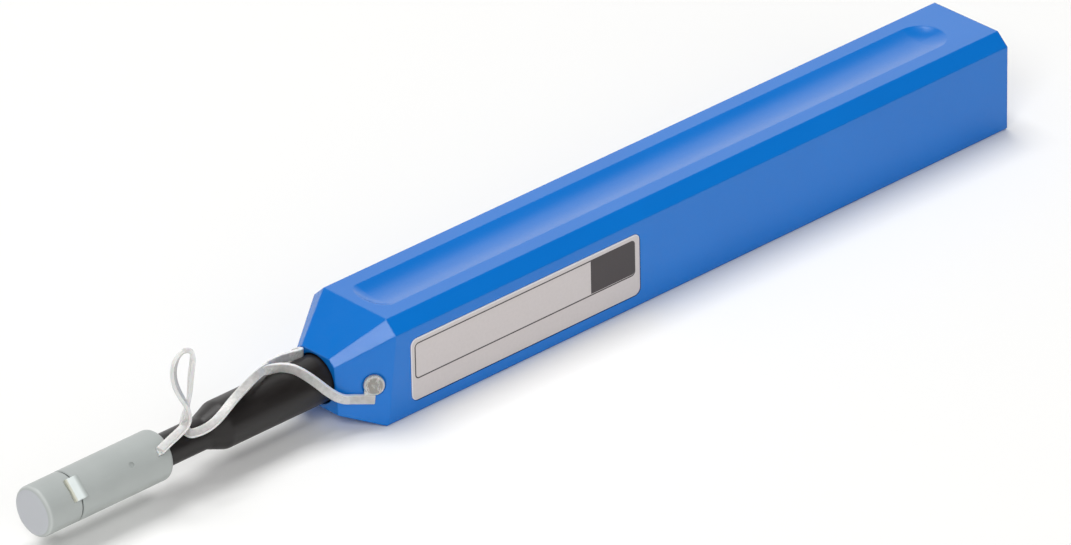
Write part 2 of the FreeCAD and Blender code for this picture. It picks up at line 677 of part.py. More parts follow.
def build_gear():
    """Spur gear on the take-up axle; its dogs drive the reel's flange."""
    body = new_body("drive_gear", f"{DATUM_X} + take_up_place", "reel_half_width + gear_play", "reel_height")
    disc = new_sketch(body, "XZ_Plane", "disc")
    ring(disc, "gear_module * (gear_teeth / 2 - 1.25)")
    ring(disc, "axle_radius + axle_play")
    pad(body, "web", disc, "gear_face", reverse=True)
    tooth = outline(new_sketch(body, "XZ_Plane", "tooth"), gear_tooth())
    one = pad(body, "tooth_pad", tooth, "gear_face", reverse=True)
    # a tooth points straight up; with an even number another points down, into a space of the rack
    pattern(body, "PolarPattern", "teeth", one, Axis=origin_of(body, "Y_Axis"), Angle="360",
            Occurrences="gear_teeth")
    dog = new_sketch(body, "XZ_Plane", "dog")
    ring(dog, "0.6", "0", "hub_radius + 1.4")
    peg = pad(body, "dog_pad", dog, "gear_play + flange_thickness")
    pattern(body, "PolarPattern", "dogs", peg, Axis=origin_of(body, "Y_Axis"), Angle="360", Occurrences="3")


def build_rack():
    """Straight rack moulded with its foot, welded to the cover under the drive gear."""
    body = new_body("drive_rack")
    line = "(reel_height - gear_module * gear_teeth / 2)"
    pitch = math.pi * value("gear_module")
    low, high = "reel_half_width + gear_play + 0.1", "reel_half_width + gear_play + gear_face - 0.1"
    half = 0.0 if value("gear_teeth") % 2 else 0.5
    first = f"(take_up_place - {(2 + half) * math.pi:.5f} * gear_module)"
    foot = rectangle(new_sketch(body, "XZ_Plane", "foot"), f"{first} - 2.4",
                     f"{first} + {math.pi:.5f} * gear_module * (rack_teeth - 1) + 2.4",
                     "cover_thickness", f"{line} - 1.3 * gear_module")
    pad(body, "foot_pad", foot, high, reverse=True)
    trim = rectangle(new_sketch(body, "XY_Plane", "trim"), "0", "housing_length", "-1", low)
    pocket(body, "foot_trim", trim, symmetric=True)
    lean = math.tan(PRESSURE)
    wide = f"({math.pi / 4:.5f} * gear_module - backlash / 4)"
    tooth = outline(new_sketch(body, "XZ_Plane", "tooth", ("0", "0", f"-({high})")), [
        (f"{first} - {wide} - 1.4 * {lean:.5f} * gear_module", f"{line} - 1.4 * gear_module"),
        (f"{first} + {wide} + 1.4 * {lean:.5f} * gear_module", f"{line} - 1.4 * gear_module"),
        (f"{first} + {wide} - 0.95 * {lean:.5f} * gear_module", f"{line} + 0.95 * gear_module"),
        (f"{first} - {wide} + 0.95 * {lean:.5f} * gear_module", f"{line} + 0.95 * gear_module")])
    one = pad(body, "tooth_pad", tooth, "gear_face - 0.2")
    pattern(body, "LinearPattern", "teeth", one, Direction=origin_of(body, "X_Axis"),
            Length=f"{pitch / value('gear_module'):.6f} * gear_module * (rack_teeth - 1)", Occurrences="rack_teeth")


# ---------------------------------------------------------------- nozzle and thread core
def build_nozzle():
    """Stepped barrel: a wide rear part in the housing, a short cone and a thin front part."""
    body = new_body("nozzle_barrel", z="axis_height")
    cone_end = "-(nozzle_front + cone_length)"
    turned(body, "barrel", [
        ("-barrel_tip + 0.3", "barrel_mouth_radius"), ("-barrel_tip", "barrel_mouth_radius + 0.3"),
        ("-barrel_tip", "barrel_radius - 0.3"), ("-barrel_tip + 0.3", "barrel_radius"),
        (cone_end, "barrel_radius"), ("-nozzle_front", "nozzle_radius"),
        ("collar_rear - collar_thickness", "nozzle_radius"),
        ("collar_rear - collar_thickness", "collar_radius"), ("collar_rear", "collar_radius"),
        ("collar_rear", "nozzle_core"), ("-nozzle_front + 2", "nozzle_core"),
        ("-nozzle_front - 0.6", "barrel_bore"), ("-(barrel_tip - barrel_mouth_depth)", "barrel_bore"),
        ("-(barrel_tip - barrel_mouth_depth)", "barrel_mouth_radius")])
    rounded(body, "shoulder", "cone_round", ("-nozzle_front", "nozzle_radius"))
    rounded(body, "cone_foot", "cone_foot_round", (cone_end, "barrel_radius"))


def build_core():
    """Rod that backs the thread, grooved above and below, with a flange for the tip spring."""
    body = new_body("core_rod", z="axis_height")
    rear = "(collar_rear + 0.05 + core_flange_thickness)"
    shank = "-(core_front - tip_shank_length - 0.1)"
    turned(body, "rod", [
        ("-core_front", "tip_shank_radius + 0.03"), ("-core_front", "core_radius - 0.2"),
        ("-core_front + 0.2", "core_radius"), ("collar_rear + 0.05", "core_radius"),
        ("collar_rear + 0.05", "core_flange_radius"), (rear, "core_flange_radius"), (rear, "0"), (shank, "0"),
        (shank, "tip_shank_radius + 0.03")])
    groove = rectangle(new_sketch(body, "YZ_Plane", "groove", ("0", "0", "-core_front - 1")),
                       "-groove_width / 2", "groove_width / 2", "thread_floor", "core_flange_radius + 1")
    cut = pocket(body, "groove_cut", groove, "core_front + collar_rear + 4", reverse=True)
    pattern(body, "Mirrored", "grooves", cut, MirrorPlane=origin_of(body, "XY_Plane"))


def build_tip():
    """Small cylindrical tip whose rounded end presses the thread on the connector's end face."""
    body = new_body("tip_sleeve", z="axis_height")
    turned(body, "pin", [
        ("-tip_nose_centre", "0"), ("-tip_nose_centre", "tip_radius"), ("-core_front - 0.05", "tip_radius"),
        ("-core_front - 0.05", "tip_shank_radius"), ("-core_front + tip_shank_length", "tip_shank_radius"),
        ("-core_front + tip_shank_length", "0")])
    slot = rectangle(new_sketch(body, "YZ_Plane", "slot", ("0", "0", "-tip_nose_centre - 1")),
                     "-groove_width / 2", "groove_width / 2", "tip_nose_round", "tip_radius + 1")
    cut = pocket(body, "slot_cut", slot, "tip_nose_centre - core_front + 0.95", reverse=True)
    pattern(body, "Mirrored", "slots", cut, MirrorPlane=origin_of(body, "XY_Plane"))
    nose = new_sketch(body, "XZ_Plane", "nose")
    ring(nose, "tip_nose_round", "-tip_nose_centre", "0")
    pad(body, "nose_pad", nose, "2 * tip_radius - 0.5", symmetric=True)


def thread_route():
    """The thread from the supply reel, along the core, round the tip and back to the take-up reel."""
    axis, reel = value("axis_height"), value("reel_height")
    clear = value("thread_diameter / 2 + thread_lift")
    low = value("thread_floor") + clear
    turn = value("tip_nose_round") + clear
    tip = -value("tip_nose_centre")
    bend = value("roller_place")
    supply = (value("supply_place"), 0, reel - value("supply_wound") - clear)
    take_up = (value("take_up_place"), 0, reel + value("take_up_wound") + clear)
    spread = 1.0  # the thread leaves each roller over this length on both sides, in two small turns
    fall = (axis - low - supply[2]) / (supply[0] - bend) * spread
    rise = (take_up[2] - axis - low) / (take_up[0] - bend) * spread
    out = [supply, (bend + spread, 0, axis - low - fall), (bend - spread, 0, axis - low),
           (tip + 5.6, 0, axis - low), (tip + 2.6, 0, axis - turn)]
    round_tip = [(tip - turn * math.sin(a), 0, axis - turn * math.cos(a))
                 for a in (math.radians(d) for d in range(0, 181, 30))]
    back = [(tip + 2.6, 0, axis + turn), (tip + 5.6, 0, axis + low), (bend - spread, 0, axis + low),
            (bend + spread, 0, axis + low + rise), take_up]
    return out + round_tip + back


# ---------------------------------------------------------------- reel carriage
ROLLER_LOW = "axis_height - thread_floor - thread_diameter - 3 * thread_lift - roller_radius"
ROLLER_HIGH = "axis_height + thread_floor + thread_diameter + 3 * thread_lift + roller_radius"
PAWL_LOW = "reel_height + 1.4"


def build_carriage():
    """Carriage that holds the nozzle, the thread core and both reels, and slides inside the housing."""
    body = new_body("reel_frame")
    outer = "(cheek_inner + cheek_thickness)"
    yoke = rectangle(new_sketch(body, "YZ_Plane", "yoke", ("0", "0", "carriage_front")),
                     f"-{outer}", outer, "yoke_low", "yoke_high")
    pad(body, "yoke_block", yoke, "yoke_rear - carriage_front")
    cheek = rectangle(new_sketch(body, "YZ_Plane", "cheek", ("0", "0", "yoke_rear - 1")),
                      "cheek_inner", outer, "cheek_low", "cheek_high")
    side = pad(body, "cheek_plate", cheek, "carriage_rear - yoke_rear + 1")
    pattern(body, "Mirrored", "cheeks", side, MirrorPlane=origin_of(body, "XZ_Plane"))
    bar = rectangle(new_sketch(body, "YZ_Plane", "mid_bar", ("0", "0", "mid_bar_front")),
                    f"-{outer} + 0.5", f"{outer} - 0.5", "reel_height - 1.6", "cheek_high")
    pad(body, "mid_bar_pad", bar, "mid_bar_rear - mid_bar_front")
    rear = rectangle(new_sketch(body, "YZ_Plane", "rear_wall", ("0", "0", "carriage_rear - rear_wall")),
                     f"-{outer} + 0.5", f"{outer} - 0.5", "cheek_low", "cheek_high")
    pad(body, "rear_wall_pad", rear, "rear_wall")
    peg = ring(new_sketch(body, "YZ_Plane", "peg", ("0", "0", "carriage_rear - 0.5")), "peg_radius",
               "0", "reel_height")
    pad(body, "spring_peg", peg, "peg_length + 0.5")

    # yoke: seat of the nozzle's collar, then the tip spring's chamber, all open below for assembly
    for name, front, back, radius in (
            ("barrel", "carriage_front - 1", "collar_rear", "nozzle_radius"),
            ("collar", "collar_rear - collar_thickness - 0.05", "collar_rear + 0.03", "collar_radius"),
            ("chamber", "collar_rear + 0.01", "yoke_rear - 2", "spring_chamber_radius"),
            ("window", "yoke_rear - 3", "yoke_rear + 1", "thread_window")):
        slot = new_sketch(body, "YZ_Plane", f"{name}_slot", ("0", "0", front))
        round_slot(slot, f"({radius} + yoke_play)")
        pocket(body, f"{name}_cut", slot, f"{back} - ({front})", reverse=True)

    # holes for the axles and the guide rollers, and windows that lighten the cheeks
    for name, place, height, radius in (
            ("take_up", "take_up_place", "reel_height", "axle_radius"),
            ("supply", "supply_place", "reel_height", "axle_radius"),
            ("low_roller", "roller_place", ROLLER_LOW, "roller_radius"),
            ("high_roller", "roller_place", ROLLER_HIGH, "roller_radius")):
        hole = ring(new_sketch(body, "XZ_Plane", f"{name}_hole"), f"{radius} + press_play", place, height)
        pocket(body, f"{name}_bore", hole, symmetric=True)
    for name, start, end in (("front", "take_up_place - 16", "take_up_place - 6"),
                             ("middle", "take_up_place + 6", "mid_bar_front - 3"),
                             ("rear", "mid_bar_rear + 3", "supply_place - 6")):
        window = rectangle(new_sketch(body, "XZ_Plane", f"{name}_window"), start, end,
                           "cheek_low + 2", "reel_height - 2")
        pocket(body, f"{name}_window_cut", window, symmetric=True)

    # runners that guide the carriage along the housing's walls
    for name, start in (("front", "roller_place + 2"), ("rear", "carriage_rear - runner_length - 1")):
        runner = rectangle(new_sketch(body, "YZ_Plane", f"{name}_runner", ("0", "0", start)),
                           f"{outer} - 0.3", f"{INNER} - runner_gap", "reel_height - runner_height / 2",
                           "reel_height + runner_height / 2")
        one = pad(body, f"{name}_runner_pad", runner, "runner_length")
        pattern(body, "Mirrored", f"{name}_runners", one, MirrorPlane=origin_of(body, "XZ_Plane"))

    # slit that holds the foot of the stop pawl
    slit = rectangle(new_sketch(body, "YZ_Plane", "pawl_slit", ("0", "0", "mid_bar_front - 1")),
                     "-(reel_half_width + ratchet_width + 0.1)", "-(reel_half_width + 0.1)",
                     f"{PAWL_LOW} - pawl_play", f"{PAWL_LOW} + pawl_thickness + pawl_play")
    pocket(body, "pawl_slit_cut", slit, "pawl_foot + 1.1", reverse=True)


def round_slot(sketch, radius):
    """A slot round the nozzle's axis, open below: a half circle on a rectangle."""
    r = value(radius)
    axis = value("axis_height")
    low = "yoke_low - 1"
    corners = [(radius, "axis_height"), (f"-{radius}", "axis_height"), (f"-{radius}", low), (radius, low)]
    at = [V(value(x), value(y), 0) for x, y in corners]
    sketch.addGeometry(Part.ArcOfCircle(Part.Circle(V(0, axis, 0), V(0, 0, 1), r), 0, math.pi), False)
    for i in (1, 2, 3):
        sketch.addGeometry(Part.LineSegment(at[i], at[(i + 1) % 4]), False)
    for i in range(4):
        sketch.addConstraint(Sketcher.Constraint("Coincident", i, 2, (i + 1) % 4, 1))
        if i:
            pin_point(sketch, i, 1, *corners[i])
    pin_point(sketch, 0, 3, "0", "axis_height")


def build_pin(label, place, height, radius):
    """A plain steel pin across the carriage."""
    body = new_body(label, f"{DATUM_X} + {place}", "0", height)
    turned(body, "pin", [
        ("0", "-(cheek_inner + cheek_thickness)"), (f"{radius} - 0.2", "-(cheek_inner + cheek_thickness)"),
        (radius, "-(cheek_inner + cheek_thickness) + 0.2"), (radius, "cheek_inner + cheek_thickness - 0.2"),
        (f"{radius} - 0.2", "cheek_inner + cheek_thickness"), ("0", "cheek_inner + cheek_thickness")],
        role="XY_Plane", axis="V_Axis")


def build_pawl():
    """Thin leaf that stops the take-up reel's ratchet from running back."""
    body = new_body("stop_pawl")
    tip = "take_up_place + ratchet_radius + 0.15"
    leaf = outline(new_sketch(body, "XZ_Plane", "leaf", ("0", "0", "reel_half_width + 0.2")), [
        (tip, PAWL_LOW), ("mid_bar_front + pawl_foot", PAWL_LOW),
        ("mid_bar_front + pawl_foot", f"{PAWL_LOW} + pawl_thickness"), (f"{tip} + 1.2", f"{PAWL_LOW} + pawl_thickness")])
    pad(body, "leaf_pad", leaf, "ratchet_width - 0.3")


# ---------------------------------------------------------------- reels
def reel_profile(near_boss, far_boss):
    """Half section of a reel as (radius, y): two flanges, a hub and its bosses."""
    bore, half, flange = "axle_radius + axle_play", "reel_half_width", "flange_thickness"
    return [(bore, near_boss), ("hub_radius", near_boss), ("hub_radius", f"-{half}"), ("reel_radius", f"-{half}"),
            ("reel_radius", f"-{half} + {flange}"), ("hub_radius", f"-{half} + {flange}"),
            ("hub_radius", f"{half} - {flange}"), ("reel_radius", f"{half} - {flange}"), ("reel_radius", half),
            ("hub_radius", half), ("hub_radius", far_boss), (bore, far_boss)]


def build_take_up():
    """Take-up reel: a ratchet ring on one flange and windows for the gear's dogs in the other."""
    body = new_body("take_up_reel", f"{DATUM_X} + take_up_place", "0", "reel_height")
    turned(body, "reel", reel_profile("-(cheek_inner - end_play)", "reel_half_width + 0.1"),
           role="XY_Plane", axis="V_Axis")
    root = "(ratchet_radius - ratchet_depth)"
    disc = ring(new_sketch(body, "XZ_Plane", "ratchet", ("0", "0", "reel_half_width - 0.1")), root)
    ring(disc, "hub_radius - 0.3")
    pad(body, "ratchet_disc", disc, "ratchet_width + 0.1")
    step = 2 * math.pi / value("ratchet_teeth")
    saw = outline(new_sketch(body, "XZ_Plane", "saw", ("0", "0", "reel_half_width - 0.1")), [
        ("0", f"{root} - 0.5"), ("0", "ratchet_radius"),
        (f"{root} * {math.sin(step * 0.96):.5f}", f"{root} * {math.cos(step * 0.96):.5f}"),
        (f"({root} - 0.5) * {math.sin(step * 0.96):.5f}", f"({root} - 0.5) * {math.cos(step * 0.96):.5f}")])
    one = pad(body, "saw_pad", saw, "ratchet_width + 0.1")
    pattern(body, "PolarPattern", "ratchet_teeth", one, Axis=origin_of(body, "Y_Axis"), Angle="360",
            Occurrences="ratchet_teeth")
    hole = ring(new_sketch(body, "XZ_Plane", "dog_window", ("0", "0", "-reel_half_width - 1")), "0.9",
                "0", "hub_radius + 1.4")
    cut = pocket(body, "dog_window_cut", hole, "flange_thickness + 1.1", reverse=True)
    pattern(body, "PolarPattern", "dog_windows", cut, Axis=origin_of(body, "Y_Axis"), Angle="360", Occurrences="3")


def build_supply():
    """Supply reel with long bosses that centre it between the carriage's cheeks."""
    body = new_body("supply_reel", f"{DATUM_X} + supply_place", "0", "reel_height")
    turned(body, "reel", reel_profile("-(cheek_inner - end_play)", "cheek_inner - end_play"),
           role="XY_Plane", axis="V_Axis")
    hole = ring(new_sketch(body, "XZ_Plane", "eye", ("0", "0", "-reel_half_width - 1")), "0.7",
                "0", "reel_radius - 0.95")
    cut = pocket(body, "eye_cut", hole, "2 * reel_half_width + 2", reverse=True)
    pattern(body, "PolarPattern", "eyes", cut, Axis=origin_of(body, "Y_Axis"), Angle="360", Occurrences="4")


def build_winding(label, place, radius):
    """The thread wound on a reel, as one ring."""
    body = new_body(label, f"{DATUM_X} + {place}", "0", "reel_height")
    coil = ring(new_sketch(body, "XZ_Plane", "coil"), radius)
    ring(coil, "hub_radius + 0.02")
    pad(body, "coil_pad", coil, "2 * (reel_half_width - flange_thickness) - 0.1", symmetric=True)


# ---------------------------------------------------------------- springs
def build_spring(label, start, length, radius, wire, pitch, height):
    """A compression spring along the pen."""
    body = new_body(label, f"{DATUM_X} + {start}", "0", height)
    section = new_sketch(body, "XZ_Plane", "wire")
    places = []
    for k in range(6):
        angle = math.radians(60 * k + 30)
        places.append((f"{wire} / 2 + {math.cos(angle):.5f} * {wire} / 2", f"{radius} + {math.sin(angle):.5f} * {wire} / 2"))
    outline(section, places)
    feature(body, "AdditiveHelix", "coil", section, ReferenceAxis=(section, ["H_Axis"]), Mode=0,
            Pitch=pitch, Height=f"{length} - {wire}")


# ---------------------------------------------------------------- guide cap and lid
def facing_plane(body, name, reach, turn):
    """A sketch square to a direction round the pen's axis, turned from the top towards the near side."""
    sketch = new_sketch(body, "XY_Plane", name, ("0", f"-({reach}) * sin({turn} * 1 deg)",
                                                 f"({reach}) * cos({turn} * 1 deg)"), ((1, 0, 0), 1.0))
    sketch.setExpression("AttachmentOffset.Rotation.Angle", bound(f"{turn} * 1 deg"))
    return sketch


def build_cap():
    """Guide cap pushed on the thin barrel, with the bore that takes a loose connector's ferrule."""
    body = new_body("cap_body", z="axis_height")
    front = "-(cap_rear + cap_length)"
    bore, floor = "barrel_radius + cap_play", "-(barrel_tip + cap_tip_gap)"
    turned(body, "shell", [
        ("-cap_rear", bore), ("-cap_rear", "cap_radius"), (f"{front} + split_chamfer", "cap_radius"),
        (front, "cap_radius - split_chamfer"), (front, "register_radius"),
        (f"{front} - register_length", "register_radius"), (f"{front} - register_length", "ferrule_nose_radius"),
        (f"{front} - ferrule_nose_length + 0.2", "ferrule_nose_radius"),
        (f"{front} - ferrule_nose_length", "ferrule_nose_radius - 0.2"),
        (f"{front} - ferrule_nose_length", "ferrule_bore"),
        (f"{floor} - tip_chamber_depth", "ferrule_bore"), (f"{floor} - tip_chamber_depth", "tip_chamber_radius"),
        (floor, "tip_chamber_radius"), (floor, bore)])
    rounded(body, "rear_rim", "cap_round", ("-cap_rear", "cap_radius"))
    flat = rectangle(facing_plane(body, "hinge_flat", "hinge_seat - 0.02", "hinge_turn"), f"{front} - 1",
                     f"{front} + hinge_over_cap + 0.06", "-hinge_width / 2 - 0.06", "hinge_width / 2 + 0.06")
    pocket(body, "hinge_flat_cut", flat, "2", reverse=True)
    slot = rectangle(facing_plane(body, "anchor_slot", "cap_radius - anchor_depth", "anchor_turn"),
                     "-cap_rear - anchor_setback - anchor_length - anchor_play",
                     "-cap_rear - anchor_setback + anchor_play", "-anchor_width / 2 - anchor_play",
                     "anchor_width / 2 + anchor_play")
    pocket(body, "anchor_slot_cut", slot, "3", reverse=True)
    # small dimple that the mould's gate leaves
    gate = ring(facing_plane(body, "gate", "cap_radius - gate_depth", "gate_turn"), "gate_radius",
                "-cap_rear - gate_back", "0")
    pocket(body, "gate_dimple", gate, "1", reverse=True)


def build_anchor():
    """Small block at the strap's end, held in the cap's slot."""
    body = new_body("tether_anchor", z="axis_height")
    block = rectangle(facing_plane(body, "block", "cap_radius - anchor_depth + anchor_play", "anchor_turn"),
                      "-cap_rear - anchor_setback - anchor_length", "-cap_rear - anchor_setback",
                      "-anchor_width / 2", "anchor_width / 2")
    pad(body, "block_pad", block, "anchor_depth - anchor_play + anchor_rise")


def build_lid():
    """Cup-shaped lid over the ferrule bore, hinged at the cap and opened by a thumb lip."""
    body = new_body("cap_lid", z="axis_height")
    rear = "-(cap_rear + cap_length + 0.02)"
    front = "-(cap_rear + cap_length + lid_length)"
    turned(body, "cup", [
        (rear, "lid_inner"), (rear, "lid_radius - split_chamfer"), (f"{rear} - split_chamfer", "lid_radius"),
        (front, "lid_radius"), (front, "0"), (f"{front} + lid_face", "0"), (f"{front} + lid_face", "lid_inner")])
    rounded(body, "front_rim", "lid_round", (front, "lid_radius"))
    lip = rectangle(facing_plane(body, "lip", "lid_inner", "(hinge_turn + 180)"), f"{rear} - lip_length", rear,
                    "-lip_width / 2", "lip_width / 2")
    pad(body, "lip_pad", lip, "lid_radius - lid_inner + lip_reach")
    flat = rectangle(facing_plane(body, "hinge_flat", "hinge_seat - 0.02", "hinge_turn"),
                     f"{rear} - hinge_over_lid - 0.06", f"{rear} + 1", "-hinge_width / 2 - 0.06",
                     "hinge_width / 2 + 0.06")
    pocket(body, "hinge_flat_cut", flat, "2", reverse=True)


def build_hinge_tab():
    """Soft strap that lies flat across the split and bends as the lid opens."""
    body = new_body("lid_hinge_strap", z="axis_height")
    front = "-(cap_rear + cap_length)"
    tab = rectangle(facing_plane(body, "tab", "hinge_seat", "hinge_turn"), f"{front} - hinge_over_lid",
                    f"{front} + hinge_over_cap", "-hinge_width / 2", "hinge_width / 2")
    pad(body, "tab_pad", tab, "hinge_thickness")


# ---------------------------------------------------------------- tether
def build_stud(side, word):
    """Push-in stud on one side facet of the nose, with the flat end of its arm."""
    centre, rearward, up, normal = facet_frame(side)
    turn = FreeCAD.Rotation(rearward * -side, up, normal, "ZYX")
    body = new_body(f"tether_stud_{word}", placement=FreeCAD.Placement(centre + V(value(DATUM_X), 0, 0), turn))
    turned(body, "button", [
        ("0", "-stud_post_length - 0.8"), ("stud_post_radius - 0.2", "-stud_post_length - 0.8"),
        ("stud_post_radius + stud_barb", "-stud_post_length"), ("stud_post_radius", "-stud_post_length"),
        ("stud_post_radius", "-stud_sunk + 0.05"), ("stud_head_radius", "-stud_sunk + 0.05"),
        ("stud_head_radius", "stud_head_thickness - stud_sunk - 0.2"),
        ("stud_head_radius - 0.2", "stud_head_thickness - stud_sunk"), ("0", "stud_head_thickness - stud_sunk")],
        axis="V_Axis")
    for name, front, low, high, thickness in (
            ("neck", "neck_front", "-tether_drop + 0.4", "-1.2", "tether_thickness - 0.2"),
            ("tab", "tab_front", "-tether_drop - tether_width / 2", "-tether_drop + tether_width / 2",
             "tether_thickness")):
        left, right = (f"-{front}", "tab_rear") if side < 0 else ("-tab_rear", front)
        sheet_part = rectangle(new_sketch(body, "XY_Plane", name, ("0", "0", "0.05")), left, right, low, high)
        pad(body, f"{name}_pad", sheet_part, thickness)
    start = centre - rearward * value("tab_front + 0.4") - up * value("tether_drop")
    return start + normal * value("0.1 + arm_diameter / 2")


def build_tether():
    """The strap from the cap to the fork, then an arm to each stud."""
    tube("tether_strap", STRAP_ROUTE, value("tether_diameter"))
    for side, word in ((-1, "near"), (1, "far")):
        end = build_stud(side, word)
        tube(f"tether_arm_{word}", ARM_ROUTES[word] + [tuple(end)], value("arm_diameter"))


# ---------------------------------------------------------------- build, check and export
build_housing()
build_label()
build_cover()
build_rack()
build_nozzle()
build_carriage()
build_pin("take_up_axle", "take_up_place", "reel_height", "axle_radius")
build_pin("supply_axle", "supply_place", "reel_height", "axle_radius")
build_pin("guide_roller_low", "roller_place", ROLLER_LOW, "roller_radius")
build_pin("guide_roller_high", "roller_place", ROLLER_HIGH, "roller_radius")
build_pawl()
build_gear()
build_take_up()
build_supply()
build_winding("take_up_winding", "take_up_place", "take_up_wound")
build_winding("supply_winding", "supply_place", "supply_wound")
build_core()
build_tip()
tube("cleaning_thread", thread_route(), value("thread_diameter"))
build_spring("return_spring", "carriage_rear + 0.05", "spring_stop - carriage_rear - 0.1", "return_spring_radius",
             "return_wire", "return_pitch", "reel_height")
build_spring("tip_spring", "collar_rear + 0.1 + core_flange_thickness",
             "yoke_rear - 2 - collar_rear - core_flange_thickness - 0.2", "tip_spring_radius", "tip_wire",
             "tip_pitch", "axis_height")
build_cap()
build_lid()
build_hinge_tab()
build_anchor()
build_tether()

doc.recompute()
for obj in doc.Objects:
    if "Invalid" in obj.State or "Error" in obj.State:
        raise RuntimeError(f"{obj.Name} is {obj.State}")
os.makedirs("parts", exist_ok=True)
pieces = [o for o in doc.Objects if o.isDerivedFrom("PartDesign::Body") or o.TypeId == "Part::Feature"]
for piece in pieces:
    shape = piece.Shape
    if shape.isNull() or not shape.isValid() or len(shape.Solids) != 1:
        raise RuntimeError(f"{piece.Label}: shape is not one valid solid ({len(shape.Solids)} solids)")
    shape.exportStep(f"parts/{piece.Label}.step")
print(len(pieces), "pieces")
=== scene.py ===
import math

import bpy
import numpy as np
from mathutils import Matrix, Vector


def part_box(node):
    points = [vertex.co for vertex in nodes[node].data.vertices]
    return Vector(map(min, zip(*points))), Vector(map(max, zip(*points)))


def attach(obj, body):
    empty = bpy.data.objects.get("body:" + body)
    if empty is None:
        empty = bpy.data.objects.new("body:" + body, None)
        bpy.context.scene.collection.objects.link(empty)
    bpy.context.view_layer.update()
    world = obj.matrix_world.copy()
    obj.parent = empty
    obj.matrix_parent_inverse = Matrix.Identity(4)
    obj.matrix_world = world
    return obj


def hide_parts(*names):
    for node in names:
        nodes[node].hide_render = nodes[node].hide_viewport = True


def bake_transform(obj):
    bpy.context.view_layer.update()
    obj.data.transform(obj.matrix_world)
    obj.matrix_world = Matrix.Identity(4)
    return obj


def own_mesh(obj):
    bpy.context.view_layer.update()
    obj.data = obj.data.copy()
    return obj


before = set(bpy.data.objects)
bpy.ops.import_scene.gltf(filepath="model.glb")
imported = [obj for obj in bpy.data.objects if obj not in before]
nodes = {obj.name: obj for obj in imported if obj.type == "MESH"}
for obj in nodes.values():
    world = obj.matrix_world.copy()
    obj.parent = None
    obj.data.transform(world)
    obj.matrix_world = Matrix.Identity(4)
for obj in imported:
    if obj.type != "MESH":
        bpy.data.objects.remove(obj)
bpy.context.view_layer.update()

# Camera: a long lens from the front left and above, level with a bench-top view of the pen. It stands about
# two metres away, so that the pen's long edges run almost parallel in the picture.
LENS_MM, SENSOR_MM = 328.27, 36.0
CAMERA_PLACE = (-1.1616, -1.2590, 0.9582)
YAW, PITCH, ROLL = (math.radians(angle) for angle in (42.82, -28.922, -1.197))
camera = bpy.data.cameras.new("bench_camera")
camera.lens, camera.sensor_width = LENS_MM, SENSOR_MM
camera.clip_start, camera.clip_end = 0.1, 10.0
sight = Vector((math.sin(YAW) * math.cos(PITCH), math.cos(YAW) * math.cos(PITCH), math.sin(PITCH)))
level = Vector((math.cos(YAW), -math.sin(YAW), 0.0))
upright = level.cross(sight)
right = math.cos(ROLL) * level + math.sin(ROLL) * upright
up = math.cos(ROLL) * upright - math.sin(ROLL) * level
turned = Matrix((right, up, -sight)).transposed().to_4x4()
stand = bpy.data.objects.new("bench_camera", camera)
stand.matrix_world = Matrix.Translation(CAMERA_PLACE) @ turned
bpy.context.scene.collection.objects.link(stand)
bpy.context.scene.camera = stand
bpy.context.scene.view_settings.view_transform = "Standard"


# Tether strap: one flat moulded strap of milky soft plastic. It leaves the guide cap's rim, stands up in a
# loose loop over the thin barrel and comes back to the fork on top of the nozzle. Routes are in millimetres
# from the nose's datum; a facing is a share of the length and the way that the flat side looks there.
STRAP_WIDTH, STRAP_THICKNESS, FORK_BLEND = 0.0018, 0.00085, 0.0025
AXIS_HEIGHT = 0.0094
PEN_DATUM = (-43.7, 0, 0)
STRAP_ROUTE = (np.array([
    (-55.9, -4.8, 13.4), (-54.6, -4.7, 13.8), (-52.9, -4.6, 14.4), (-50.7, -4.5, 15.1), (-48.6, -4.2, 15.8),
    (-47.4, -3.8, 17.2), (-47.2, -3.4, 18.8), (-47.9, -3.0, 20.5), (-48.8, -2.7, 22.5), (-49.5, -2.4, 24.8),
    (-49.5, -2.1, 27.1), (-48.7, -1.8, 28.9), (-46.9, -1.4, 30.0), (-44.8, -1.0, 29.8), (-43.0, -0.7, 28.3),
    (-42.8, -0.2, 25.8), (-43.2, -0.1, 23.6), (-43.4, 0.0, 21.3), (-43.9, -0.2, 19.3), (-44.7, -0.6, 17.5),
    (-46.1, -1.1, 16.0), (-47.1, -1.8, 14.8), (-47.4, -2.6, 13.6), (-47.0, -3.5, 12.9), (-45.8, -4.4, 13.2),
    (-44.0, -4.8, 13.4), (-42.0, -4.9, 13.9), (-39.9, -4.6, 14.5), (-37.5, -4.0, 15.3), (-34.9, -3.2, 15.9),
    (-31.9, -2.2, 16.2), (-28.6, -0.9, 16.3), (-25.1, 0.6, 16.1), (-22.8, 1.4, 15.8), (-21.6, 1.85, 15.7)])
    + PEN_DATUM) / 1000
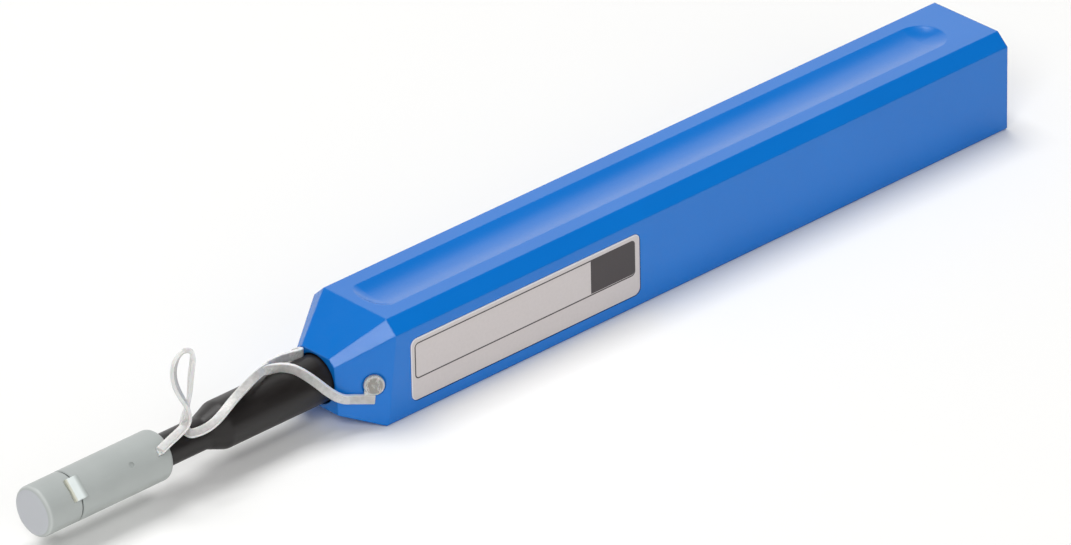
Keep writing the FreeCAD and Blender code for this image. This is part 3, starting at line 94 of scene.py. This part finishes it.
STRAP_FACING = [
    (0.0, -0.26, -0.32, 0.91), (0.073, -0.27, -0.31, 0.91), (0.108, -0.60, -0.06, 0.80),
    (0.126, -0.88, 0.23, 0.41), (0.141, -0.90, 0.43, -0.02), (0.155, -0.80, 0.50, -0.32),
    (0.177, -0.67, 0.62, -0.41), (0.233, -0.54, 0.82, -0.21), (0.287, -0.38, 0.92, 0.05),
    (0.335, -0.11, 0.74, 0.67), (0.362, 0.54, 0.16, 0.82), (0.388, 0.85, -0.48, 0.20),
    (0.415, 0.87, -0.48, -0.10), (0.474, 0.89, -0.43, -0.13), (0.503, 0.82, -0.54, -0.19),
    (0.525, 0.71, -0.67, -0.23), (0.551, 0.58, -0.78, -0.25), (0.567, 0.48, -0.88, 0.05),
    (0.584, 0.30, -0.87, 0.39), (0.600, 0.06, -0.77, 0.63), (0.615, -0.24, -0.55, 0.80),
    (0.653, -0.20, -0.46, 0.87), (0.773, -0.16, -0.22, 0.96), (0.850, 0.07, -0.29, 0.96),
    (0.923, 0.30, -0.58, 0.76), (1.0, 0.29, -0.87, 0.40)]


def smooth_line(route, count):
    """Points along a quadratic B-spline whose first and last control points are its ends: each point is the
    sum of three neighbouring control points, weighted by squares of the place between two knots."""
    spans = len(route) - 2
    knots = np.concatenate([[0, 0], np.arange(spans + 1), [spans, spans]]).astype(float)
    u = np.linspace(0, spans, count)
    k = np.minimum(u.astype(int), spans - 1) + 2
    a = (u - knots[k - 1]) / (knots[k + 1] - knots[k - 1])
    b = (u - knots[k]) / (knots[k + 1] - knots[k])
    left = route[k - 2] * (1 - a)[:, None] + route[k - 1] * a[:, None]
    c = (u - knots[k]) / (knots[k + 2] - knots[k])
    ahead = route[k - 1] * (1 - c)[:, None] + route[k] * c[:, None]
    return left * (1 - b)[:, None] + ahead * b[:, None]


def travelled(line):
    """The length of the line up to each of its points."""
    return np.concatenate([[0], np.cumsum(np.linalg.norm(np.diff(line, axis=0), axis=1))])


def unit(v):
    return v / np.linalg.norm(v, axis=-1, keepdims=True)


def add_mesh(name, points, faces, smooth=True):
    mesh = bpy.data.meshes.new(name)
    mesh.from_pydata([tuple(p) for p in points], [], [tuple(f) for f in faces])
    mesh.update()
    if smooth:
        mesh.polygons.foreach_set("use_smooth", np.ones(len(mesh.polygons), bool))
    piece = bpy.data.objects.new(name, mesh)
    bpy.context.scene.collection.objects.link(piece)
    return piece


def ribbon(name, line, facing, width, thickness, start_size=1.0, end_size=1.0, around=32):
    """A closed strap along a line. Its section is a superellipse of power 8, |x/w|^8 + |y/t|^8 = 1, turned so
    that its flat side looks along `facing`, made square to the line at every point; the ends are domed. The
    section swells from start_size, and shrinks to end_size, over the FORK_BLEND at each end. The attribute
    narrow_side rises from 0 to 1 over the outer fifth of the width."""
    gone = travelled(line)
    size = np.interp(gone, [0, FORK_BLEND], [start_size, 1])
    size = size * np.interp(gone[-1] - gone, [0, FORK_BLEND], [end_size, 1])
    along = unit(np.gradient(line, axis=0))
    out = unit(facing - (facing * along).sum(1)[:, None] * along)
    across = np.cross(along, out)
    t = (np.arange(around) + 0.5) * 2 * math.pi / around
    x = np.sign(np.cos(t)) * np.abs(np.cos(t)) ** (2 / 8) * width / 2
    y = np.sign(np.sin(t)) * np.abs(np.sin(t)) ** (2 / 8) * thickness / 2
    section = across[:, None] * x[None, :, None] + out[:, None] * y[None, :, None]
    rings = line[:, None] + section * size[:, None, None]
    dome, reach = 0.86, thickness * 0.1
    start = line[:1, None] - along[:1, None] * reach + (rings[:1] - line[:1, None]) * dome
    end = line[-1:, None] + along[-1:, None] * reach + (rings[-1:] - line[-1:, None]) * dome
    rings = np.concatenate([start, rings, end])
    n = len(rings)
    narrow = ((np.abs(x) / (width / 2) - 0.8) / 0.2).clip(0, 1)
    i, j = np.meshgrid(np.arange(n - 1), np.arange(around), indexing="ij")
    turn = (j + 1) % around
    corners = [i * around + j, i * around + turn, (i + 1) * around + turn, (i + 1) * around + j]
    faces = [list(f) for f in np.stack(corners, -1).reshape(-1, 4)]
    faces.append(list(range(around))[::-1])
    faces.append([(n - 1) * around + k for k in range(around)])
    made = add_mesh(name, rings.reshape(-1, 3), faces)
    attribute = made.data.attributes.new("narrow_side", "FLOAT", "POINT")
    attribute.data.foreach_set("value", np.tile(narrow, n))
    return made


def facings(line, stations):
    """Directions for a strap's flat side. Each station gives a share of the line's length and the direction
    there, and between two stations the direction is their straight mixture."""
    gone = travelled(line)
    share = gone / gone[-1]
    shares, *directions = np.array(stations).T
    return np.stack([np.interp(share, shares, part) for part in directions], axis=-1)


def colour(red, green, blue):
    """A colour given on the usual 0 to 255 scale, as the linear values that a shader works in."""
    part = np.array([red, green, blue]) / 255
    linear = np.where(part > 0.04045, ((part + 0.055) / 1.055) ** 2.4, part / 12.92)
    return (*(float(x) for x in linear), 1.0)


class Signal:
    """A number that changes over a surface: a node's output that can be used in plain arithmetic."""

    def __init__(self, maker, socket):
        self.maker, self.socket = maker, socket

    def join(self, operation, *others):
        values = dict(enumerate((self, *others)))
        return self.maker.node("ShaderNodeMath", {"operation": operation}, values)

    def __add__(self, other):
        return self.join("ADD", other)

    def __mul__(self, other):
        return self.join("MULTIPLY", other)

    def __sub__(self, other):
        return self.join("SUBTRACT", other)

    def __truediv__(self, other):
        return self.join("DIVIDE", other)

    def __rsub__(self, other):
        return self * -1 + other

    __radd__ = __add__
    __rmul__ = __mul__

    def above(self, limit):
        return self.join("GREATER_THAN", limit)

    def below(self, limit):
        return self.join("LESS_THAN", limit)

    def distance(self):
        return self.join("ABSOLUTE")

    def ramp(self, start, end):
        """0 up to start and 1 from end on, with a straight rise between them; end may be the lower one."""
        return self.maker.node("ShaderNodeClamp", {}, {0: (self - start) * (1 / (end - start))})

    def most(self, other):
        return self.join("MAXIMUM", other)


class Nodes:
    """A node tree that is filled by name."""

    def __init__(self, tree):
        self.tree = tree

    def node(self, kind, settings=None, values=None, output=0):
        """Adds a node, with its settings first and then the values or links of its inputs."""
        made = self.tree.nodes.new(kind)
        for key, value in (settings or {}).items():
            setattr(made, key, value)
        for key, value in (values or {}).items():
            if isinstance(value, Signal):
                self.tree.links.new(value.socket, made.inputs[key])
            else:
                made.inputs[key].default_value = value
        return Signal(self, made.outputs[output]) if made.outputs else None

    def parts(self, vector):
        """The x, y and z of a vector."""
        split = self.node("ShaderNodeSeparateXYZ", {}, {0: vector}).socket.node
        return [Signal(self, split.outputs[k]) for k in range(3)]


class Finish(Nodes):
    """One piece's material: a Principled surface and the nodes that vary it."""

    def __init__(self, name, base, roughness, **constants):
        self.material = bpy.data.materials.new(name)
        self.material.use_nodes = True
        super().__init__(self.material.node_tree)
        self.surface = self.tree.nodes["Principled BSDF"]
        self.surface.inputs["Base Color"].default_value = base
        self.surface.inputs["Roughness"].default_value = roughness
        self.material.diffuse_color = base
        for key, value in constants.items():
            socket = key.replace("_", " ").title().replace("Ior", "IOR")
            self.surface.inputs[socket].default_value = value

    def feed(self, name, signal):
        self.tree.links.new(signal.socket, self.surface.inputs[name])

    def place(self):
        """The surface point in the pen's own frame, in metres."""
        return self.node("ShaderNodeTexCoord", output="Object")

    def noise(self, scale, detail=2.0, roughness=0.5, stretch=(1, 1, 1)):
        """Noise on object coordinates, with its grain drawn out by the factors in stretch."""
        drawn = self.node("ShaderNodeMapping", {}, {"Vector": self.place(), "Scale": stretch})
        values = {"Vector": drawn, "Scale": scale, "Detail": detail, "Roughness": roughness}
        return self.node("ShaderNodeTexNoise", {}, values)

    def tint(self, factor, base, other):
        """A colour between two, by a factor from 0 to 1."""
        made = self.tree.nodes.new("ShaderNodeMix")
        made.data_type = "RGBA"
        self.tree.links.new(factor.socket, made.inputs[0])
        for slot, shade in ((6, base), (7, other)):
            if isinstance(shade, Signal):
                self.tree.links.new(shade.socket, made.inputs[slot])
            else:
                made.inputs[slot].default_value = shade
        return Signal(self, made.outputs[2])

    def relief(self, height, depth, strength=1.0, soft_edges=0.0):
        """A bump of that depth in metres, over edges rounded by soft_edges in metres."""
        values = {"Height": height, "Distance": depth, "Strength": strength}
        if soft_edges:
            values["Normal"] = self.node("ShaderNodeBevel", {"samples": 8}, {"Radius": soft_edges})
        self.feed("Normal", self.node("ShaderNodeBump", {}, values))

    def dress(self, *pieces):
        for piece in pieces:
            piece.data.materials.clear()
            piece.data.materials.append(self.material)


milky = Finish("milky_soft_plastic", colour(206, 205, 202), 0.4, transmission_weight=0.3, ior=1.46,
               specular_ior_level=0.3, subsurface_weight=0.2, subsurface_scale=0.0008)
cloud = milky.noise(1100, 3.0, 0.6)
flat = milky.tint(cloud.ramp(0.3, 0.7), colour(192, 191, 188), colour(216, 215, 213))
# Painted highlight: the strap's narrow sides are painted near white, where its edges catch the light.
narrow_side = milky.node("ShaderNodeAttribute", {"attribute_name": "narrow_side"}, output="Fac")
milky.feed("Base Color", milky.tint(narrow_side, flat, colour(240, 240, 239)))
milky.feed("Roughness", cloud * 0.2 + 0.3)
milky.relief(milky.noise(2200, 2.0), 0.00004, 0.6)

strap_line = smooth_line(STRAP_ROUTE, 361)
strap = ribbon("tether_strap_flat", strap_line, facings(strap_line, STRAP_FACING),
               STRAP_WIDTH, STRAP_THICKNESS, end_size=0.85)
milky.dress(strap)
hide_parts("tether_strap")
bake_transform(strap)

# Tether arms: the strap forks on top of the nozzle. Each arm stands on its edge there, bends down beside the
# nozzle and ends over the flat tab of a stud in the side of the nose. It starts smaller, inside the strap.
ARM_WIDTH, ARM_THICKNESS = 0.00192, 0.00088
ARM_START = {"near": 0.7, "far": 0.45}
ARM_ROUTES = {
    "near": [(-25.0, 0.55, 15.95), (-23.4, 1.0, 15.75), (-21.8, 1.1, 15.4), (-20.7, 0.95, 15.25),
             (-19.9, 0.5, 15.25), (-19.0, -0.5, 15.3), (-18.0, -2.0, 15.1), (-16.9, -3.6, 14.1),
             (-15.3, -5.2, 12.3), (-13.5, -6.5, 10.0), (-11.7, -7.3, 8.3), (-10.2, -7.7, 7.42),
             (-8.88, -7.94, 7.05), (-7.63, -8.75, 6.87), (-4.93, -10.51, 6.5)],
    "far": [(-24.6, 1.0, 15.85), (-23.2, 1.6, 15.6), (-21.6, 2.1, 15.5), (-20.6, 2.5, 15.4),
            (-18.3, 2.9, 15.3), (-15.8, 3.0, 15.05), (-13.3, 2.7, 14.75), (-11.8, 2.6, 14.6),
            (-11.5, 4.4, 14.0), (-11.6, 6.2, 12.3), (-11.6, 7.2, 10.3), (-11.0, 7.5, 8.4),
            (-9.9, 7.6, 7.3), (-8.88, 7.94, 7.05), (-7.63, 8.75, 6.87), (-4.93, 10.51, 6.5)],
}
ARM_FACINGS = {
    "near": [(0.0, 0.26, -0.59, 0.76), (0.06, 0.24, -0.86, 0.46), (0.12, 0.01, -0.99, 0.16),
             (0.19, -0.61, -0.79, 0.02), (0.26, -0.81, -0.58, 0.04), (0.42, -0.75, -0.67, -0.03),
             (0.55, -0.67, -0.73, -0.11), (0.66, -0.53, -0.83, -0.17), (0.75, -0.40, -0.90, -0.10),
             (0.85, -0.53, -0.84, 0.06), (0.88, -0.538, -0.84, 0.075), (1.0, -0.538, -0.84, 0.075)],
    "far": [(0.0, 0.26, -0.59, 0.76), (0.052, 0.29, -0.81, 0.52), (0.128, 0.36, -0.83, 0.42),
            (0.204, 0.15, -0.97, 0.19), (0.289, 0.02, -1.0, 0.10), (0.384, -0.11, -0.99, 0.02),
            (0.45, 0.50, -0.85, 0.0), (0.526, 0.95, -0.20, 0.1), (0.64, 0.95, -0.30, 0.0),
            (0.735, 0.80, -0.60, 0.0), (0.858, 0.538, -0.84, -0.075), (1.0, 0.538, -0.84, -0.075)],
}
for word, route in ARM_ROUTES.items():
    line = smooth_line((np.array(route) + PEN_DATUM) / 1000, 141)
    arm = ribbon(f"tether_arm_{word}_flat", line, facings(line, ARM_FACINGS[word]),
                 ARM_WIDTH, ARM_THICKNESS, start_size=ARM_START[word])
    milky.dress(arm)
    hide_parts(f"tether_arm_{word}")
    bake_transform(arm)

# Studs and anchor: the round button heads are clearer in the middle, with pale flow streaks and a pale rim.
# The anchor, the strap's end in the cap, is plain and paler.
HEAD_RADIUS, HEAD_CENTRE, HEAD_NORMAL = 0.0021, (-0.0486, 0.01063, 0.00946), (-0.538, 0.84, 0.075)
RIM_START, RIM_FULL = 0.74, 0.883
button = Finish("milky_button", colour(190, 187, 182), 0.3, transmission_weight=0.35, ior=1.46,
                subsurface_weight=0.2, subsurface_scale=0.0008)


def off_axis(maker, centre, normal):
    """A point's distance from a line through `centre` along `normal`: the root of |p|^2 - (p . n)^2. The y
    is taken without its sign, so that the same numbers serve the near and the far stud."""
    x, y, z = maker.parts(maker.place())
    steps = [x - centre[0], y.distance() - centre[1], z - centre[2]]
    square = steps[0] * steps[0] + steps[1] * steps[1] + steps[2] * steps[2]
    height = steps[0] * normal[0] + steps[1] * normal[1] + steps[2] * normal[2]
    return (square - height * height).join("SQRT")


rim = (off_axis(button, HEAD_CENTRE, HEAD_NORMAL) / HEAD_RADIUS).ramp(RIM_START, RIM_FULL)
streak = button.noise(1700, 3.0, 0.6, stretch=(1, 1, 0.4)).ramp(0.52, 0.645)
inside = button.tint(streak, colour(176, 172, 166), colour(222, 220, 217))
button.feed("Base Color", button.tint(rim, inside, colour(232, 232, 231)))
button.feed("Roughness", streak * 0.15 + 0.2)
button.relief(streak, 0.00006, 0.6, soft_edges=0.00015)
button.dress(nodes["tether_stud_near"], nodes["tether_stud_far"])
anchor = Finish("milky_anchor", colour(236, 236, 234), 0.4, specular_ior_level=0.3,
                subsurface_weight=0.2, subsurface_scale=0.0008)
cloud = anchor.noise(1600, 3.0, 0.6)
anchor.feed("Base Color", anchor.tint(cloud, colour(222, 222, 220), colour(246, 246, 245)))
anchor.feed("Roughness", cloud * 0.2 + 0.3)
anchor.relief(cloud, 0.00003, 0.5, soft_edges=0.0002)
anchor.dress(nodes["tether_anchor"])


# Housing shell: one injection-moulded tube of glossy blue plastic with a faceted nose, softly rounded on
# every edge and faintly grained. A fine dark line of painted shadow, cast by the label, shows along its lower
# and rear edges.
BLUE, BLUE_DEEP, BLUE_SHADOW = colour(2, 117, 208), colour(1, 109, 198), colour(6, 66, 122)
LABEL_CORNER = 0.0015


def moulded_blue(name):
    blue = Finish(name, BLUE, 0.24, specular_ior_level=0.4)
    blue.shade = blue.tint(blue.noise(40, 3.0), BLUE_DEEP, BLUE)
    blue.feed("Base Color", blue.shade)
    wear = blue.noise(420, 4.0, 0.6, stretch=(0.12, 1, 1))
    blue.feed("Roughness", wear * 0.1 + 0.18)
    blue.relief(blue.noise(2600, 2.0) + wear * 0.4, 0.00003, 0.35, soft_edges=0.00045)
    return blue


LABEL_LOW, LABEL_HIGH = (np.array(corner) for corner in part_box("label"))
LABEL_LENGTH, _, LABEL_HEIGHT = (float(side) for side in LABEL_HIGH - LABEL_LOW)


def label_place(maker):
    """Where a point lies on the near side: its shares of the label's length and height, and its y."""
    x, y, z = maker.parts(maker.place())
    return (x - float(LABEL_LOW[0])) / LABEL_LENGTH, (z - float(LABEL_LOW[2])) / LABEL_HEIGHT, y


def reach_past(along, rise, x_mid, z_mid, half_x, half_z, turn):
    """How far a point lies outside a rectangle with round corners: its distance from the rectangle drawn
    smaller by the corner radius, less that radius. All lengths are shares of the label's size."""
    dx = ((along - x_mid).distance() * LABEL_LENGTH - (half_x * LABEL_LENGTH - turn)).most(0.0)
    dz = ((rise - z_mid).distance() * LABEL_HEIGHT - (half_z * LABEL_HEIGHT - turn)).most(0.0)
    return (dx * dx + dz * dz).join("SQRT") - turn


shell = moulded_blue("blue_shell")
along, rise, side = label_place(shell)
# Painted shadow: a fine dark line just outside the label's lower and rear edges, on the near side only.
shaded = reach_past(along, rise, 0.5036, 0.484, 0.5, 0.5, LABEL_CORNER).below(0) * side.below(0)
shell.feed("Base Color", shell.tint(shaded, shell.shade, BLUE_SHADOW))
shell.dress(nodes["housing_shell"])

# Label: thin printed film, silver grey, with a thin rounded frame and a dark field at its rear end. A painted
# highlight along its front and top edges stands for the cut edge catching the light.
FILM, FILM_DEEP, FILM_EDGE_HIGHLIGHT = colour(208, 201, 200), colour(199, 192, 191), colour(222, 222, 228)
PRINT, PRINT_CORNER, LINE_HALF = colour(60, 53, 53), 0.0009, 0.00015
label = Finish("label_film", FILM, 0.42)
along, rise, _ = label_place(label)


def band(signal, start, end):
    """1 between two limits and 0 outside them."""
    return signal.above(start) * signal.below(end)


outside_frame = reach_past(along, rise, 0.498, 0.628, 0.480, 0.283, PRINT_CORNER)
frame_line = outside_frame.distance().below(LINE_HALF)
round_field = reach_past(along, rise, 0.881, 0.635, 0.097, 0.272, PRINT_CORNER).below(0)
dark_field = round_field.most(band(along, 0.784, 0.88) * band(rise, 0.363, 0.907))
# Painted highlight: a pale band along the film's edge, widest at the front and the top.
edge_highlight = reach_past(along, rise, 0.502, 0.49, 0.5, 0.5, LABEL_CORNER).above(-0.00018)
grain = label.noise(1500, 2.0)
film = label.tint(edge_highlight, label.tint(grain, FILM_DEEP, FILM), FILM_EDGE_HIGHLIGHT)
label.feed("Base Color", label.tint(dark_field.most(frame_line), film, PRINT))
label.feed("Roughness", grain * 0.12 + 0.36)
label.relief(grain, 0.00001, 0.4, soft_edges=0.0001)
label.dress(nodes["label"])

# Base cover: flat snap-in cover of the same blue plastic as the shell. It closes the housing from below and
# carries the rack inside.
moulded_blue("blue_cover").dress(nodes["base_cover"])


# Carriage, gear, rack and reels: natural, white and black acetal, a waxy plastic that keeps a soft sheen.
# They sit inside the closed housing, and their colour drifts just a little.
def acetal(name, shade, spread, roughness=0.42):
    waxy = Finish(name, colour(*shade), roughness, subsurface_weight=0.08, subsurface_scale=0.001)
    drift = waxy.noise(260, 3.0)
    deep = colour(*(s - spread for s in shade))
    waxy.feed("Base Color", waxy.tint(drift, deep, colour(*shade)))
    waxy.feed("Roughness", drift * 0.16 + (roughness - 0.08))
    waxy.relief(waxy.noise(1900, 2.0), 0.00003, 0.4, soft_edges=0.00015)
    return waxy


acetal("natural_acetal", (232, 229, 217), 10).dress(nodes["reel_frame"])
acetal("white_acetal", (236, 236, 231), 8).dress(
    nodes["drive_gear"], nodes["drive_rack"], nodes["supply_reel"])
acetal("black_acetal", (46, 46, 48), 8).dress(nodes["take_up_reel"])


# Steel pins, rod, pawl and springs: drawn wire and turned pins with fine marks along their length. In the pen
# the two coil springs shorten as it is pushed; here they ride with the nozzle carriage at their full length.
def drawn_steel(name, shade, marks):
    steel = Finish(name, colour(*shade), 0.3, metallic=1.0)
    line = steel.noise(1400, 3.0, 0.6, stretch=marks)
    deep = colour(*(int(s * 0.86) for s in shade))
    steel.feed("Base Color", steel.tint(line, deep, colour(*shade)))
    steel.feed("Roughness", line * 0.18 + 0.2)
    steel.relief(line, 0.00001, 0.5)
    return steel


drawn_steel("turned_pin_steel", (200, 201, 203), (1, 0.05, 1)).dress(
    nodes["take_up_axle"], nodes["supply_axle"], nodes["guide_roller_low"], nodes["guide_roller_high"])
drawn_steel("core_rod_steel", (206, 207, 208), (0.05, 1, 1)).dress(nodes["core_rod"])
spring_wire = drawn_steel("spring_wire_steel", (186, 188, 192), (1, 0.3, 0.3))
spring_wire.dress(nodes["stop_pawl"])


def sprung(node):
    """A coil spring: a copy of its node in spring wire, hung on the nozzle carriage at its full length."""
    spring = bpy.data.objects.new(f"{node}_coil", nodes[node].data.copy())
    bpy.context.scene.collection.objects.link(spring)
    spring_wire.dress(spring)
    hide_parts(node)
    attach(spring, "nozzle_carriage")
    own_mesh(spring)


sprung("return_spring")
sprung("tip_spring")

# Tip: a small sleeve of hard pale resin, polished where it carries the thread, with the faint speckle of a
# filled plastic.
resin = Finish("tip_resin", colour(238, 235, 228), 0.22, coat_weight=0.3)
speck = resin.noise(3000, 2.0)
resin.feed("Base Color", resin.tint(speck, colour(230, 226, 217), colour(242, 240, 235)))
resin.feed("Roughness", speck * 0.1 + 0.17)
resin.dress(nodes["tip_sleeve"])


# Cleaning thread and the thread wound on both reels: fine microfibre, white when new and greyer once used.
# Its strands show as a fine grain with a soft relief.
def fibre(name, shade, twist):
    yarn = Finish(name, colour(*shade), 0.85)
    strand = yarn.noise(5200, 3.0, 0.65, stretch=twist)
    deep = colour(*(int(s * 0.84) for s in shade))
    yarn.feed("Base Color", yarn.tint(strand, deep, colour(*shade)))
    yarn.relief(strand, 0.00008, 0.7)
    return yarn


fibre("new_thread", (240, 240, 237), (1, 4, 1)).dress(nodes["cleaning_thread"], nodes["supply_winding"])
fibre("used_thread", (186, 186, 184), (1, 4, 1)).dress(nodes["take_up_winding"])

# Nozzle barrel: black moulded plastic, wide at the rear, with a short cone and a thin front part. A fine
# satin grain is drawn out by the mould along its length.
black = Finish("nozzle_black", colour(33, 30, 29), 0.4, specular_ior_level=0.35)
grain = black.noise(700, 3.0, 0.55, stretch=(0.3, 1, 1))
black.feed("Base Color", black.tint(grain, colour(26, 23, 22), colour(38, 35, 34)))
black.feed("Roughness", grain * 0.16 + 0.32)
black.relief(grain + black.noise(2600, 2.0) * 0.5, 0.00003, 0.4, soft_edges=0.0003)
black.dress(nodes["nozzle_barrel"])


# Guide cap and lid: two mouldings of grey plastic with a soft sheen and a fine parting line along each side.
# The lid's end face carries painted light from the front lamp, paler and cooler, and its round rim a paler
# painted highlight.
LID_FRONT, LID_REAR = (float(corner[0]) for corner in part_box("cap_lid"))
SPLIT_HALF, PARTING_HALF, PARTING_TURN = 0.00014, 0.00007, math.radians(51.5)
END_FACE, END_FACE_LIMIT = 0.000025, 0.00015
RIM_HIGHLIGHT_MIDDLE, RIM_HIGHLIGHT_HALF = 0.00055, 0.000455


def moulded_grey(name):
    """Grey plastic. The parting line lies where the mould's plane through the axis cuts the wall: there y cos
    a + z sin a = 0, with z measured from the axis and a the plane's turn from the top. The split between cap
    and lid holds a fine dark line of painted shade, where the gap between them lies in shadow."""
    grey = Finish(name, colour(170, 175, 173), 0.4, specular_ior_level=0.4)
    drift = grey.noise(120, 3.0)
    x, y, z = grey.parts(grey.place())
    # Painted shade: a fine dark line in the gap between cap and lid.
    split = (x - LID_REAR).distance().below(SPLIT_HALF)
    body = grey.tint(drift, colour(165, 170, 168), colour(178, 183, 181))
    grey.shade = grey.tint(split, body, colour(108, 112, 111))
    grey.feed("Base Color", grey.shade)
    grey.feed("Roughness", grey.noise(600, 3.0, 0.55, stretch=(0.3, 1, 1)) * 0.16 + 0.32)
    off_plane = y * math.cos(PARTING_TURN) + (z - AXIS_HEIGHT) * math.sin(PARTING_TURN)
    parting = off_plane.distance().below(PARTING_HALF)
    grey.relief(grey.noise(2300, 2.0) - parting * 1.5, 0.00003, 0.4, soft_edges=0.0003)
    return grey, x


cap, _ = moulded_grey("cap_grey")
cap.dress(nodes["cap_body"])
lid, x = moulded_grey("lid_grey")
from_end = x - LID_FRONT
# Painted light: the end face, turned to the front lamp, is painted paler and cooler, and a painted highlight
# runs round its rim.
lit_end_face = from_end.ramp(END_FACE_LIMIT, END_FACE)
rim = (from_end - RIM_HIGHLIGHT_MIDDLE).distance().ramp(RIM_HIGHLIGHT_HALF, 0) * 0.5
body = lid.tint(rim, lid.tint(lit_end_face, lid.shade, colour(194, 197, 202)), colour(208, 212, 210))
lid.feed("Base Color", body)
lid.dress(nodes["cap_lid"])

# Hinge tab: a pale soft strip laid across the split, so that the lid stays with the cap. Painted shade
# darkens it towards both ends of its rounded section: yellowish at the front edge, and greyer at the rear end
# against the cap.
pale = Finish("hinge_soft_plastic", colour(226, 233, 231), 0.45)
cloud = pale.noise(900, 3.0)
tab_front, tab_rear = (float(corner[0]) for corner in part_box("lid_hinge_strap"))
x, _, _ = pale.parts(pale.place())
share = (x - tab_front) / (tab_rear - tab_front)
body = pale.tint(cloud, colour(222, 231, 229), colour(236, 242, 241))
# Painted shade: darker and yellowish at the front edge, greyer at the rear end, with the lit middle left
# pale.
body = pale.tint(share.ramp(0.2, 0.075), body, colour(206, 206, 190))
pale.feed("Base Color", pale.tint(share.ramp(0.65, 0.9), body, colour(176, 182, 180)))
pale.feed("Roughness", cloud * 0.14 + 0.38)
pale.relief(pale.noise(2600, 2.0), 0.00003, 0.4, soft_edges=0.0002)
pale.dress(nodes["lid_hinge_strap"])

# Floor and studio light: a white sweep, a soft box above and a little behind, a smaller one at the front
# left, a weak broad fill and a pale surround whose mirror image is bright only low down behind the pen.
FLOOR_HALF, FLOOR_DROP = 3, 0.00005
LAMPS = {"main": ((0.1, 0.45, 1.6), 0.9, 17.5),
         "front": ((-1.05, -0.73, 1.1), 0.6, 7.8),
         "fill": ((-0.4, -1.6, 0.5), 1.4, 7.2)}
MIRRORED_GLOW, MIRRORED_REST, SURROUND = 1.6, 0.04, 0.33
corners = [(-FLOOR_HALF, -FLOOR_HALF, 0), (FLOOR_HALF, -FLOOR_HALF, 0),
           (FLOOR_HALF, FLOOR_HALF, 0), (-FLOOR_HALF, FLOOR_HALF, 0)]
floor = add_mesh("floor", corners, [(0, 1, 2, 3)], smooth=False)
floor.location = (0, 0, -FLOOR_DROP)
sweep = Finish("white_sweep", (0.96, 0.956, 0.943, 1), 0.9, specular_ior_level=0.0)
sweep.dress(floor)
for name, (place, side, watts) in LAMPS.items():
    lamp = bpy.data.lights.new(f"{name}_lamp", "AREA")
    lamp.size, lamp.energy = side, watts
    holder = bpy.data.objects.new(f"{name}_lamp", lamp)
    towards_pen = Vector(place).to_track_quat("Z", "Y").to_matrix().to_4x4()
    holder.matrix_world = Matrix.Translation(place) @ towards_pen
    bpy.context.scene.collection.objects.link(holder)
world = bpy.data.worlds.new("white_surround")
bpy.context.scene.world = world
world.use_nodes = True
world.node_tree.nodes.clear()
sky = Nodes(world.node_tree)
_, back, rise = sky.parts(sky.node("ShaderNodeTexCoord", output="Generated"))
backdrop = back.ramp(0, 0.25) * rise.ramp(0.7125, 0.5875)
mirrored = sky.node("ShaderNodeLightPath", output="Is Glossy Ray")
seen = sky.node("ShaderNodeLightPath", output="Is Camera Ray")
mirror_image = mirrored * (backdrop * MIRRORED_GLOW + MIRRORED_REST)
strength = (mirror_image + (1 - mirrored) * SURROUND).most(seen)
surround = sky.node("ShaderNodeBackground", {}, {"Strength": strength})
sky.node("ShaderNodeOutputWorld", {}, {0: surround})
